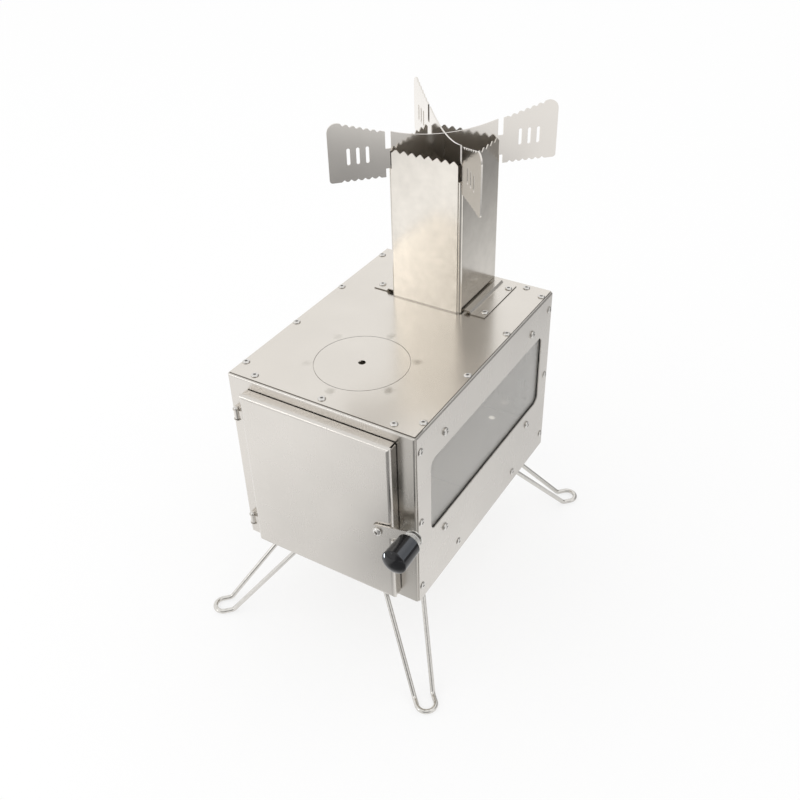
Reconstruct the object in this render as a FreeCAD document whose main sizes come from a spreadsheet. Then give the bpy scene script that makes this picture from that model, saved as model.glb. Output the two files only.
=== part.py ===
"""Camping rocket stove: a folded sheet firebox with a side window, a lid over the cooking hole, a
chimney that slides into rails and carries a crossed pot support, a latched door and four wire legs.

Millimetres. +X is to the right, +Y to the rear and +Z up. Pieces are drawn with the firebox's front
plane at y = 0 and its lower edge at z = 0. Each is then placed so that the origin lies on the ground,
under the middle of the whole stove.
"""
import FreeCAD
import Part
import Sketcher
import math
import os
import re

SIZES = {
    # Firebox
    "body_width": 200.0,
    "body_depth": 278.0,
    "body_height": 197.0,
    "ground_clearance": 100.0,
    "gauge": 1.0,
    "bend": 2.0,
    "flange": 14.0,
    "seam": 0.3,
    "fit": 0.05,
    "edge_setback": 2.0,
    "floor_height": 25.0,
    "floor_lip": 14.0,
    "air_hole_radius": 3.5,
    "air_hole_x": 42.0,
    "air_hole_inset": 17.5,
    "hearth_width": 150.0,
    "hearth_front": 44.0,
    "hearth_rear": 56.5,
    "hearth_gap": 1.5,
    "hearth_rise": 6.0,
    # Cooking hole
    "lid_radius": 44.5,
    "lid_gap": 0.5,
    "lid_y": 73.2,
    "lid_hole_radius": 3.5,
    "ring_lap": 6.0,
    "ring_reach": 10.0,
    # Window
    "window_front": 24.8,
    "window_rear": 22.6,
    "window_bottom": 72.0,
    "window_height": 83.0,
    "window_corner": 8.0,
    "gasket_gauge": 1.2,
    "glass_gauge": 4.0,
    "glass_lap": 6.0,
    "glass_gap": 0.5,
    "retainer_lap": 5.0,
    "screw_inset": 25.5,
    "screw_offset": 15.5,
    "screw_edge": 6.0,
    "screw_radius": 2.0,
    "screw_head_radius": 4.0,
    "screw_head_height": 2.4,
    "nut_radius": 4.0,
    "nut_height": 3.2,
    # Rivets
    "rivet_radius": 3.75,
    "rivet_crown": 2.4,
    "rivet_height": 1.5,
    "top_rivet_inset": 5.5,
    "top_rivet_first": 22.3,
    "top_rivet_last": 17.8,
    "front_rivet_inset": 8.7,
    "front_rivet_pitch": 73.8,
    "side_rivet_inset": 7.5,
    "side_rivet_first": 16.5,
    "side_rivet_last": 19.1,
    "skirt_rivet_height": 13.3,
    "skirt_rivet_pitch": 121.0,
    # Rails that hold the chimney
    "rail_outer": 63.5,
    "rail_step": 47.0,
    "rail_lip": 41.0,
    "rail_rise": 2.6,
    "rail_slant": 1.6,
    "rail_lead": 34.2,
    "rail_length": 71.7,
    "rail_rivet_inset": 4.5,
    "rail_rivet_end": 9.0,
    # Chimney
    "chimney_side": 78.0,
    "chimney_height": 156.0,
    "chimney_inset": 48.6,
    "chimney_gauge": 1.0,
    "chimney_bend": 3.0,
    "seam_setback": 4.0,
    "seam_lap": 10.0,
    "flue_side": 66.0,
    "foot_reach": 6.5,
    "foot_length": 60.0,
    "chimney_teeth": 9,
    "tooth_depth": 3.4,
    "tooth_flat": 1.0,
    "tooth_over": 0.1,
    "slot_width": 5.6,
    "slot_depth": 19.0,
    # Pot supports
    "pot_gauge": 1.5,
    "pot_clearance": 0.3,
    "notch_width": 5.4,
    "web_top": 16.0,
    "web_sag": 7.5,
    "web_bottom": 24.0,
    "wing_reach": 111.0,
    "wing_top": 16.4,
    "wing_slope": 16.0,
    "wing_bottom": 27.5,
    "wing_corner": 9.0,
    "wing_toe": 3.0,
    "wing_teeth": 6,
    "wing_pitch": 6.6,
    "wing_first": 7.0,
    "wing_notch": 5.4,
    "wing_notch_depth": 1.9,
    "wing_notch_over": 0.25,
    "vent_count": 3,
    "vent_first": 17.0,
    "vent_pitch": 9.0,
    "vent_width": 3.2,
    "vent_flat": 0.06,
    "vent_length": 16.0,
    "vent_low": 16.0,
    # Door and its hinges
    "door_left": 79.0,
    "door_width": 160.0,
    "door_bottom": 6.0,
    "door_height": 180.0,
    "door_depth": 11.0,
    "door_bend": 3.5,
    "door_gap": 1.0,
    "door_relief": 1.8,
    "mouth_width": 132.0,
    "mouth_bottom": 28.0,
    "mouth_height": 142.0,
    "mouth_corner": 4.0,
    "hinge_x": 89.5,
    "hinge_y": 5.2,
    "lower_hinge": 25.0,
    "upper_hinge": 157.0,
    "hinge_height": 12.0,
    "hinge_width": 7.0,
    "hinge_reach": 3.4,
    "hinge_round": 3.3,
    "hinge_pin": 1.5,
    "pin_head_radius": 2.8,
    "pin_head_height": 2.0,
    "knuckle": 2.8,
    "knuckle_gap": 0.4,
    "strap_gauge": 1.2,
    "strap_foot": 6.4,
    # Latch
    "latch_x": 67.1,
    "latch_z": 89.5,
    "latch_pin": 2.5,
    "latch_head_radius": 4.6,
    "latch_head_height": 3.0,
    "latch_nut_radius": 4.6,
    "latch_nut_height": 3.5,
    "washer_gauge": 1.0,
    "washer_radius": 6.0,
    "lever_gauge": 1.5,
    "lever_pivot_end": 7.0,
    "lever_knob_end": 5.0,
    "keeper_x": 82.5,
    "keeper_width": 6.5,
    "keeper_base": 14.0,
    "keeper_reach": 17.0,
    "keeper_lip": 10.0,
    "keeper_gap": 0.3,
    # Knob
    "knob_x": 105.3,
    "knob_z": 100.0,
    "knob_length": 29.0,
    "knob_rear": 11.2,
    "knob_front": 12.0,
    "knob_dome": 4.5,
    "knob_round": 2.0,
    "stud_radius": 2.5,
    "stud_depth": 16.0,
    "stud_head_radius": 4.2,
    "stud_head_height": 0.7,
    "seat_gauge": 0.8,
    "seat_radius": 8.2,
    "coil_radius": 7.0,
    "coil_wire": 0.9,
    "coil_bend": 0.95,
    "coil_pitch": 1.35,
    "coil_quarters": 16,
    # Legs
    "wire": 5.0,
    "wire_bend": 6.0,
    "leg_inset_x": 53.5,
    "leg_inset_y": 46.5,
    "leg_pivot_z": 12.0,
    "leg_reach": 103.0,
    "leg_top_half": 22.4,
    "leg_foot_half": 9.25,
    "leg_foot": 20.7,
    "foot_flat": 0.2,
    "leg_pin_end": 34.0,
    "bracket_gauge": 1.5,
    "bracket_half": 30.5,
    "bracket_front": 14.0,
    "bracket_back": 9.0,
    "stop_gap": 0.3,
}

# Places that several pieces share, as formulas of the sizes
TOP = "body_height"
UNDER_TOP = "(body_height - gauge)"
INNER_X = "(body_width / 2 - gauge)"
HEARTH_LENGTH = "((body_depth - hearth_front - hearth_rear - hearth_gap) / 2)"
WINDOW_BACK = "(body_depth - window_rear)"
CHIMNEY_Y = "(body_depth - chimney_inset)"
RAIL_FRONT = f"({CHIMNEY_Y} - rail_lead)"
TOP_RIVET_PITCH = "(body_depth - top_rivet_first - top_rivet_last) / 3"
SIDE_RIVET_PITCH = "(body_height - side_rivet_first - side_rivet_last) / 2"
DOOR_FACE = "(door_gap + door_depth)"
LEVER_BACK = f"({DOOR_FACE} + washer_gauge)"
LEVER_FACE = f"({LEVER_BACK} + lever_gauge)"
COIL_LENGTH = "(coil_quarters / 4 * coil_pitch + 2 * (coil_wire + coil_bend))"
KNOB_REAR = f"({LEVER_FACE} + seat_gauge + {COIL_LENGTH})"
LEVER_LENGTH = "sqrt((knob_x - latch_x) * (knob_x - latch_x) + (knob_z - latch_z) * (knob_z - latch_z))"
LEVER_TILT = "atan((knob_z - latch_z) / (knob_x - latch_x))"
GLASS_BACK = f"({INNER_X} - gasket_gauge - glass_gauge)"
WINDOW_MIDDLE = "(window_bottom + window_height / 2)"
GLASS_HALF = "(window_height / 2 + glass_lap + glass_gap)"
SCREW_HALF = "(window_height / 2 + screw_offset)"
NOTCH_MIDDLE = "((chimney_side / 2 - chimney_gauge / 2) * sqrt(2))"
NECK_IN = f"({NOTCH_MIDDLE} - notch_width / 2)"
NECK_OUT = f"({NOTCH_MIDDLE} + notch_width / 2)"
WEB_END = f"({NECK_IN} - chimney_gauge * sqrt(2))"
LEG_X = "(body_width / 2 - leg_inset_x)"
LEG_DROP = "(leg_pivot_z + ground_clearance - wire / 2)"
FOOT_END = "(leg_foot_half + wire / 2)"
FOOT_OUT = f"((leg_reach + leg_foot - {FOOT_END}) / sqrt(2) + {FOOT_END} - leg_inset_y)"
FRONT_Y = f"(({KNOB_REAR} + knob_length - body_depth - {FOOT_OUT}) / 2)"

doc = FreeCAD.newDocument("rocket_stove")
size = doc.addObject("Spreadsheet::Sheet", "size")
for row, (alias, number) in enumerate(SIZES.items(), 1):
    size.set(f"A{row}", alias)
    size.set(f"B{row}", str(number))
    size.setAlias(f"B{row}", alias)
doc.recompute()
pieces = []


def formula(text):
    """The formula with every size that it names read from the sheet."""
    return re.sub(r"[a-z_]+", lambda word: f"size.{word[0]}" if word[0] in SIZES else word[0], text)


def value(text):
    """What a formula comes to, as a plain number."""
    return float(size.evalExpression(formula(text)))


def bind(item, name, text):
    """Tie one property of an object to a formula."""
    item.setExpression(name, formula(text))


def place(item, x="0", y="0", z="0", axis=(0, 0, 1), turn="0"):
    """Put a finished piece in the stove's own frame and list it as one to be written."""
    item.Placement = FreeCAD.Placement(FreeCAD.Vector(), FreeCAD.Rotation(FreeCAD.Vector(*axis), 0))
    bind(item, "Placement.Base.x", x)
    bind(item, "Placement.Base.y", f"{y} + {FRONT_Y}")
    bind(item, "Placement.Base.z", f"{z} + ground_clearance")
    bind(item, "Placement.Rotation.Angle", turn)
    pieces.append(item)
    doc.recompute()


def new_body(label):
    """An empty body whose label names the piece."""
    body = doc.addObject("PartDesign::Body", label)
    body.Label = label
    return body


def origin_plane(body, role):
    """One of the body's own origin planes."""
    return next(item for item in body.Origin.OriginFeatures if item.Role == role)


def draw(body, role, at="0", across="0", up="0", turn="0"):
    """An empty sketch on an origin plane, moved to a place along the plane's world axis."""
    sketch = body.newObject("Sketcher::SketchObject", f"{body.Label}_sketch")
    sketch.AttachmentSupport = [(origin_plane(body, role), "")]
    sketch.MapMode = "FlatFace"
    bind(sketch, "AttachmentOffset.Base.x", across)
    bind(sketch, "AttachmentOffset.Base.y", up)
    bind(sketch, "AttachmentOffset.Base.z", f"-({at})" if role == "XZ_Plane" else at)
    bind(sketch, "AttachmentOffset.Rotation.Angle", turn)
    return sketch


def faces_back(sketch):
    """Whether the sketch's normal points against its world axis, as it does on the XZ plane."""
    return sketch.AttachmentSupport[0][0].Role == "XZ_Plane"


def pin_point(sketch, index, end, corner):
    """Hold one end of a line at a pair of formulas."""
    for kind, text in zip(("DistanceX", "DistanceY"), corner):
        number = sketch.addConstraint(Sketcher.Constraint(kind, index, end, value(text)))
        bind(sketch, f"Constraints[{number}]", text)


def line(sketch, start, end):
    """A straight line between two pairs of formulas."""
    points = [FreeCAD.Vector(value(corner[0]), value(corner[1]), 0) for corner in (start, end)]
    return sketch.addGeometry(Part.LineSegment(*points))


def outline(sketch, corners):
    """A closed run of straight lines through pairs of formulas."""
    lines = [line(sketch, corner, corners[(n + 1) % len(corners)]) for n, corner in enumerate(corners)]
    for n, index in enumerate(lines):
        sketch.addConstraint(Sketcher.Constraint("Coincident", index, 2, lines[(n + 1) % len(lines)], 1))
        pin_point(sketch, index, 1, corners[n])


def rectangle(sketch, across, up):
    """A rectangle between two pairs of formulas, one pair each way."""
    (left, right), (low, high) = across, up
    outline(sketch, [(left, low), (right, low), (right, high), (left, high)])


def circle(sketch, across, up, radius):
    """A circle whose centre and radius are formulas."""
    centre = FreeCAD.Vector(value(across), value(up), 0)
    index = sketch.addGeometry(Part.Circle(centre, FreeCAD.Vector(0, 0, 1), value(radius)))
    number = sketch.addConstraint(Sketcher.Constraint("Radius", index, value(radius)))
    bind(sketch, f"Constraints[{number}]", radius)
    pin_point(sketch, index, 3, (across, up))


def arc(sketch, centre, radius, start, end):
    """An arc about a pair of formulas, between two angles in degrees; its ends are tied elsewhere."""
    middle = FreeCAD.Vector(value(centre[0]), value(centre[1]), 0)
    whole = Part.Circle(middle, FreeCAD.Vector(0, 0, 1), value(radius))
    index = sketch.addGeometry(Part.ArcOfCircle(whole, math.radians(start), math.radians(end)))
    number = sketch.addConstraint(Sketcher.Constraint("Radius", index, value(radius)))
    bind(sketch, f"Constraints[{number}]", radius)
    return index


def rounded_rectangle(sketch, across, up, radius):
    """A rectangle with four round corners."""
    (left, right), (low, high) = across, up
    near_left, near_right = f"{left} + {radius}", f"{right} - {radius}"
    near_low, near_high = f"{low} + {radius}", f"{high} - {radius}"
    sides = [((near_left, low), (near_right, low)), ((right, near_low), (right, near_high)),
             ((near_right, high), (near_left, high)), ((left, near_high), (left, near_low))]
    turns = [(near_right, near_low), (near_right, near_high), (near_left, near_high), (near_left, near_low)]
    lines = [line(sketch, start, end) for start, end in sides]
    arcs = [arc(sketch, centre, radius, 90 * n - 90, 90 * n) for n, centre in enumerate(turns)]
    for n in range(4):
        sketch.addConstraint(Sketcher.Constraint("Coincident", lines[n], 2, arcs[n], 1))
        sketch.addConstraint(Sketcher.Constraint("Coincident", arcs[n], 2, lines[(n + 1) % 4], 1))
        pin_point(sketch, lines[n], 1, sides[n][0])
        pin_point(sketch, lines[n], 2, sides[n][1])


def tapered_slot(sketch, length, near, far):
    """Two round ends of different radius, joined by lines that meet them smoothly."""
    lean = math.asin((value(near) - value(far)) / value(length))
    degrees = 90 - math.degrees(lean)
    near_arc = arc(sketch, ("0", "0"), near, degrees, 360 - degrees)
    far_arc = arc(sketch, (length, "0"), far, -degrees, degrees)
    sin, cos = math.sin(lean), math.cos(lean)
    reach, small, large = value(length), value(far), value(near)
    starts = [(large * sin, -large * cos), (reach + small * sin, small * cos)]
    ends = [(reach + small * sin, -small * cos), (large * sin, large * cos)]
    lines = []
    for start, end in zip(starts, ends):
        edge = Part.LineSegment(FreeCAD.Vector(*start, 0), FreeCAD.Vector(*end, 0))
        lines.append(sketch.addGeometry(edge))
    chain = [(near_arc, 2, lines[0], 1), (lines[0], 2, far_arc, 1), (far_arc, 2, lines[1], 1),
             (lines[1], 2, near_arc, 1)]
    for first, end, second, start in chain:
        sketch.addConstraint(Sketcher.Constraint("Tangent", first, end, second, start))
    pin_point(sketch, near_arc, 3, ("0", "0"))
    pin_point(sketch, far_arc, 3, (length, "0"))


def pad(sketch, length, forward=True):
    """Material from the sketch along its world axis, or against it."""
    body = sketch.getParentGeoFeatureGroup()
    feature = body.newObject("PartDesign::Pad", f"{body.Label}_pad")
    feature.Profile = sketch
    bind(feature, "Length", length)
    feature.Reversed = forward == faces_back(sketch)
    doc.recompute()
    return feature


def pocket(sketch, length, forward=True):
    """A cut from the sketch along its world axis, or against it; it has to remove something."""
    body = sketch.getParentGeoFeatureGroup()
    before = body.Shape.Volume
    feature = body.newObject("PartDesign::Pocket", f"{body.Label}_cut")
    feature.Profile = sketch
    bind(feature, "Length", length)
    feature.Reversed = forward != faces_back(sketch)
    doc.recompute()
    if not body.Shape.Volume < before - 1e-6:
        raise RuntimeError(f"{body.Label}: a cut removes nothing")
    return feature


def row_of(feature, sketch, length, count):
    """Copies of a cut along its sketch's own horizontal axis."""
    body = sketch.getParentGeoFeatureGroup()
    copies = body.newObject("PartDesign::LinearPattern", f"{body.Label}_row")
    copies.Originals = [feature]
    copies.Direction = (sketch, ["H_Axis"])
    bind(copies, "Length", length)
    bind(copies, "Occurrences", count)
    body.Tip = copies
    doc.recompute()


def block(body, x, y, z):
    """A box between pairs of formulas, the start of a folded piece."""
    sketch = draw(body, "XY_Plane", at=z[0])
    rectangle(sketch, x, y)
    return pad(sketch, f"({z[1]}) - ({z[0]})")


def lies_at(box, places):
    """Whether a face's or edge's box lies flat at each place: an axis number and a formula."""
    low, high = (box.XMin, box.YMin, box.ZMin), (box.XMax, box.YMax, box.ZMax)
    near = [abs(low[axis] - value(text)) + abs(high[axis] - value(text)) < 1e-4 for axis, text in places]
    return all(near)


def round_edges(body, lines, radius):
    """A round along each edge that is named by the two planes it lies in."""
    base = body.Tip
    edges = enumerate(base.Shape.Edges, 1)
    names = [f"Edge{n}" for n, edge in edges if any(lies_at(edge.BoundBox, places) for places in lines)]
    feature = body.newObject("PartDesign::Fillet", f"{body.Label}_round")
    feature.Base = (base, names)
    bind(feature, "Radius", radius)
    doc.recompute()


def fold(body, open_faces, thickness="gauge"):
    """Hollow the body to a sheet, without the faces at the named places."""
    base = body.Tip
    faces = enumerate(base.Shape.Faces, 1)
    names = [f"Face{n}" for n, face in faces if any(lies_at(face.BoundBox, [spot]) for spot in open_faces)]
    feature = body.newObject("PartDesign::Thickness", f"{body.Label}_sheet")
    feature.Base = (base, names)
    bind(feature, "Value", thickness)
    feature.Reversed = True
    doc.recompute()


def solid(kind, label, sizes, at=("0", "0", "0"), axis=(0, 0, 1), turn="0"):
    """A plain solid such as a cylinder, with its sizes and place bound to formulas."""
    item = doc.addObject(kind, label)
    for name, text in sizes.items():
        bind(item, name, text)
    item.Placement = FreeCAD.Placement(FreeCAD.Vector(), FreeCAD.Rotation(FreeCAD.Vector(*axis), 0))
    for letter, text in zip("xyz", at):
        bind(item, f"Placement.Base.{letter}", text)
    bind(item, "Placement.Rotation.Angle", turn)
    return item


def cylinder(label, radius, height, at=("0", "0", "0"), axis=(0, 0, 1), turn="0"):
    """A round bar along +Z, or turned about an axis."""
    return solid("Part::Cylinder", label, {"Radius": radius, "Height": height}, at, axis, turn)


def joined(label, first, second):
    """Two solids as one."""
    item = doc.addObject("Part::Fuse", label)
    item.Base, item.Tool = first, second
    return item


def cut(label, first, second):
    """The first solid without the second."""
    item = doc.addObject("Part::Cut", label)
    item.Base, item.Tool = first, second
    return item


def group(label, items):
    """Like fasteners as one piece of separate solids."""
    item = doc.addObject("Part::Compound", label)
    item.Label = label
    item.Links = items
    place(item)


def make_top_plate():
    """The flat top, with the cooking hole and the flue under the chimney."""
    body = new_body("top_plate")
    sketch = draw(body, "XY_Plane", at=UNDER_TOP)
    half = "(body_width / 2 - edge_setback)"
    rectangle(sketch, (f"-{half}", half), ("edge_setback", "body_depth - edge_setback"))
    circle(sketch, "0", "lid_y", "lid_radius + lid_gap")
    rectangle(sketch, ("-flue_side / 2", "flue_side / 2"),
              (f"{CHIMNEY_Y} - flue_side / 2", f"{CHIMNEY_Y} + flue_side / 2"))
    pad(sketch, "gauge")
    place(body)


def make_side_panel(label, side, has_window):
    """One side wall with a flange turned in under the top plate, and the window's cut-outs."""
    body = new_body(label)
    outer, inner = f"{side} * body_width / 2", f"{side} * (body_width / 2 - flange)"
    front, back = "edge_setback", "(body_depth - edge_setback)"
    block(body, (inner, outer), (front, back), ("0", UNDER_TOP))
    round_edges(body, [[(0, outer), (2, UNDER_TOP)]], "bend")
    fold(body, [(0, inner), (1, front), (1, back), (2, "0")])
    sketch = draw(body, "XY_Plane", at=UNDER_TOP)
    wall = f"{side} * {INNER_X}"
    past = f"{side} * (body_width / 2 - flange - gauge)"
    rectangle(sketch, (past, wall), ("0", "flange + seam"))
    rectangle(sketch, (past, wall), ("body_depth - flange - seam", "body_depth"))
    pocket(sketch, "bend", forward=False)
    if has_window:
        sketch = draw(body, "YZ_Plane", at=outer)
        rounded_rectangle(sketch, ("window_front", WINDOW_BACK),
                          ("window_bottom", "(window_bottom + window_height)"), "window_corner")
        for along, up in screw_places():
            circle(sketch, along, up, "screw_radius + fit")
        pocket(sketch, "2 * gauge", forward=False)
    place(body)


def make_front_frame():
    """The front wall with the door's mouth, folded back at both sides and at the top."""
    body = new_body("front_frame")
    block(body, (f"-{INNER_X}", INNER_X), ("0", "flange"), ("0", UNDER_TOP))
    round_edges(body, [[(0, f"-{INNER_X}"), (1, "0")], [(0, INNER_X), (1, "0")],
                       [(1, "0"), (2, UNDER_TOP)]], "bend")
    fold(body, [(1, "flange"), (2, "0")])
    sketch = draw(body, "XZ_Plane")
    rounded_rectangle(sketch, ("-mouth_width / 2", "mouth_width / 2"),
                      ("mouth_bottom", "(mouth_bottom + mouth_height)"), "mouth_corner")
    pocket(sketch, "2 * gauge")
    place(body)


def make_rear_panel():
    """The rear wall, folded forward at both sides and at the top."""
    body = new_body("rear_panel")
    back = "body_depth"
    block(body, (f"-{INNER_X}", INNER_X), ("body_depth - flange", back), ("0", UNDER_TOP))
    round_edges(body, [[(0, f"-{INNER_X}"), (1, back)], [(0, INNER_X), (1, back)],
                       [(1, back), (2, UNDER_TOP)]], "bend")
    fold(body, [(1, "body_depth - flange"), (2, "0")])
    place(body)


def make_floor_tray():
    """The floor, an upturned tray with air holes and notched corners."""
    body = new_body("floor_tray")
    front, back = "gauge", "(body_depth - gauge)"
    low = "(floor_height - floor_lip)"
    block(body, (f"-{INNER_X}", INNER_X), (front, back), (low, "floor_height"))
    round_edges(body, [[(0, f"-{INNER_X}"), (2, "floor_height")], [(0, INNER_X), (2, "floor_height")],
                       [(1, front), (2, "floor_height")], [(1, back), (2, "floor_height")]], "bend")
    fold(body, [(2, low)])
    sketch = draw(body, "XY_Plane", at="floor_height")
    for side in ("-1", "1"):
        across = (f"{side} * ({INNER_X} - bend - seam)", f"{side} * body_width / 2")
        rectangle(sketch, across, ("0", "flange + seam"))
        rectangle(sketch, across, ("body_depth - flange - seam", "body_depth"))
        for along in ("air_hole_inset", "body_depth - air_hole_inset"):
            circle(sketch, f"{side} * air_hole_x", along, "air_hole_radius")
    pocket(sketch, "floor_lip", forward=False)
    place(body)


def make_hearth_plate(label, number):
    """A loose plate on the floor that the fire lies on, with its sides folded down."""
    body = new_body(label)
    front = f"(hearth_front + {number} * ({HEARTH_LENGTH} + hearth_gap))"
    back = f"({front} + {HEARTH_LENGTH})"
    top = "(floor_height + hearth_rise)"
    sides = ("-hearth_width / 2", "hearth_width / 2")
    block(body, sides, (front, back), ("floor_height", top))
    round_edges(body, [[(0, side), (2, top)] for side in sides], "bend")
    fold(body, [(1, front), (1, back), (2, "floor_height")])
    place(body)


def make_lid_parts():
    """The cooking lid, flush with the top, and the ring under the top that it lies on."""
    ring = new_body("lid_support_ring")
    sketch = draw(ring, "XY_Plane", at=f"{UNDER_TOP} - gauge")
    circle(sketch, "0", "lid_y", "lid_radius + ring_reach")
    circle(sketch, "0", "lid_y", "lid_radius - ring_lap")
    pad(sketch, "gauge")
    place(ring)
    lid = new_body("cooking_lid")
    sketch = draw(lid, "XY_Plane", at=UNDER_TOP)
    circle(sketch, "0", "lid_y", "lid_radius")
    circle(sketch, "0", "lid_y", "lid_hole_radius")
    pad(sketch, "gauge")
    place(lid)


def make_rail(label, side):
    """A Z-section strip on the top plate; its raised lip holds one of the chimney's feet."""
    body = new_body(label)
    sketch = draw(body, "XZ_Plane", at=RAIL_FRONT)
    low, lip = "(body_height + gauge)", "(body_height + rail_rise)"
    corners = [("rail_outer", TOP), ("rail_outer", low), ("rail_step + rail_slant", low),
               ("rail_step", f"{lip} + gauge"), ("rail_lip", f"{lip} + gauge"), ("rail_lip", lip),
               ("rail_step - gauge", lip), ("rail_step - gauge + rail_slant", TOP)]
    outline(sketch, [(f"{side} * ({across})", up) for across, up in corners])
    pad(sketch, "rail_length")
    place(body)


def screw_places():
    """Where the window's four screws go, as pairs of formulas along and up the side."""
    ends = ("window_front + screw_inset", f"{WINDOW_BACK} - screw_inset")
    return [(along, f"{WINDOW_MIDDLE} {sign} {SCREW_HALF}") for along in ends for sign in "+-"]


def make_window():
    """The gasket and the glass behind the window, and the strips that clamp them from inside."""
    along = ("(window_front - glass_lap)", f"({WINDOW_BACK} + glass_lap)")
    up = ("(window_bottom - glass_lap)", "(window_bottom + window_height + glass_lap)")
    gasket = new_body("window_gasket")
    sketch = draw(gasket, "YZ_Plane", at=f"{INNER_X} - gasket_gauge")
    rectangle(sketch, along, up)
    rounded_rectangle(sketch, ("window_front", WINDOW_BACK),
                      ("window_bottom", "(window_bottom + window_height)"), "window_corner")
    pad(sketch, "gasket_gauge")
    place(gasket)
    glass = new_body("window_glass")
    sketch = draw(glass, "YZ_Plane", at=GLASS_BACK)
    rectangle(sketch, along, up)
    pad(sketch, "glass_gauge")
    place(glass)
    for label, sign in (("upper_window_retainer", "+"), ("lower_window_retainer", "-")):
        strip = new_body(label)
        sketch = draw(strip, "XZ_Plane", at="window_front")
        back, edge = f"({GLASS_BACK} - gauge)", f"({SCREW_HALF} + screw_edge)"
        corners = [(INNER_X, GLASS_HALF), (INNER_X, edge), (f"{INNER_X} - gauge", edge),
                   (f"{INNER_X} - gauge", f"{GLASS_HALF} + gauge"), (back, f"{GLASS_HALF} + gauge"),
                   (back, f"{GLASS_HALF} - retainer_lap"), (GLASS_BACK, f"{GLASS_HALF} - retainer_lap"),
                   (GLASS_BACK, GLASS_HALF)]
        outline(sketch, [(across, f"{WINDOW_MIDDLE} {sign} ({rise})") for across, rise in corners])
        pad(sketch, f"{WINDOW_BACK} - window_front")
        sketch = draw(strip, "YZ_Plane", at=INNER_X)
        for spot in screw_places()["+-".index(sign)::2]:
            circle(sketch, *spot, "screw_radius + fit")
        pocket(sketch, "gauge", forward=False)
        place(strip)


def make_window_screws():
    """Pan-head screws through the side panel and the retainers, and their nuts inside."""
    screws, nuts = [], []
    shank = "2 * gauge + nut_height"
    inside = f"{INNER_X} - gauge - nut_height"
    across = (0, 1, 0)
    for number, (along, up) in enumerate(screw_places()):
        head = cylinder(f"screw_head_{number}", "screw_head_radius", "screw_head_height",
                        ("body_width / 2", along, up), across, "90")
        bar = cylinder(f"screw_bar_{number}", "screw_radius", shank, (inside, along, up), across, "90")
        screws.append(joined(f"screw_{number}", head, bar))
        hexagon = solid("Part::Prism", f"nut_hexagon_{number}",
                        {"Circumradius": "nut_radius", "Height": "nut_height"},
                        (inside, along, up), across, "90")
        bore = cylinder(f"nut_bore_{number}", "screw_radius + fit", "nut_height",
                        (inside, along, up), across, "90")
        nuts.append(cut(f"nut_{number}", hexagon, bore))
    group("window_screws", screws)
    group("window_nuts", nuts)


def make_rivets():
    """Rivet heads in rows on the top plate, down both sides and on the rails."""
    sizes = {"Radius1": "rivet_radius", "Radius2": "rivet_crown", "Height": "rivet_height"}

    def heads(name, places, axis=(0, 0, 1), turn="0"):
        return [solid("Part::Cone", f"{name}_{n}", sizes, spot, axis, turn) for n, spot in enumerate(places)]

    edge = "(body_width / 2 - top_rivet_inset)"
    spots = [(f"{side} * {edge}", f"top_rivet_first + {n} * {TOP_RIVET_PITCH}", TOP)
             for side in (-1, 1) for n in range(4)]
    spots += [(f"{n} * front_rivet_pitch", "front_rivet_inset", TOP) for n in (-1, 0, 1)]
    spots += [(f"{n} * front_rivet_pitch", "body_depth - front_rivet_inset", TOP) for n in (-1, 1)]
    group("top_rivets", heads("top_rivet", spots))
    for label, side in (("right", 1), ("left", -1)):
        wall = f"{side} * body_width / 2"
        spots = [(wall, along, f"side_rivet_first + {n} * {SIDE_RIVET_PITCH}")
                 for along in ("side_rivet_inset", "body_depth - side_rivet_inset") for n in range(3)]
        spots += [(wall, f"body_depth / 2 {sign} skirt_rivet_pitch / 2", "skirt_rivet_height")
                  for sign in "+-"]
        group(f"{label}_side_rivets", heads(f"{label}_rivet", spots, (0, 1, 0), f"{side} * 90"))
    spots = [(f"{side} * (rail_outer - rail_rivet_inset)", along, "body_height + gauge")
             for side in (-1, 1)
             for along in (f"{RAIL_FRONT} + rail_rivet_end", f"{RAIL_FRONT} + rail_length - rail_rivet_end")]
    group("rail_rivets", heads("rail_rivet", spots))


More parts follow.
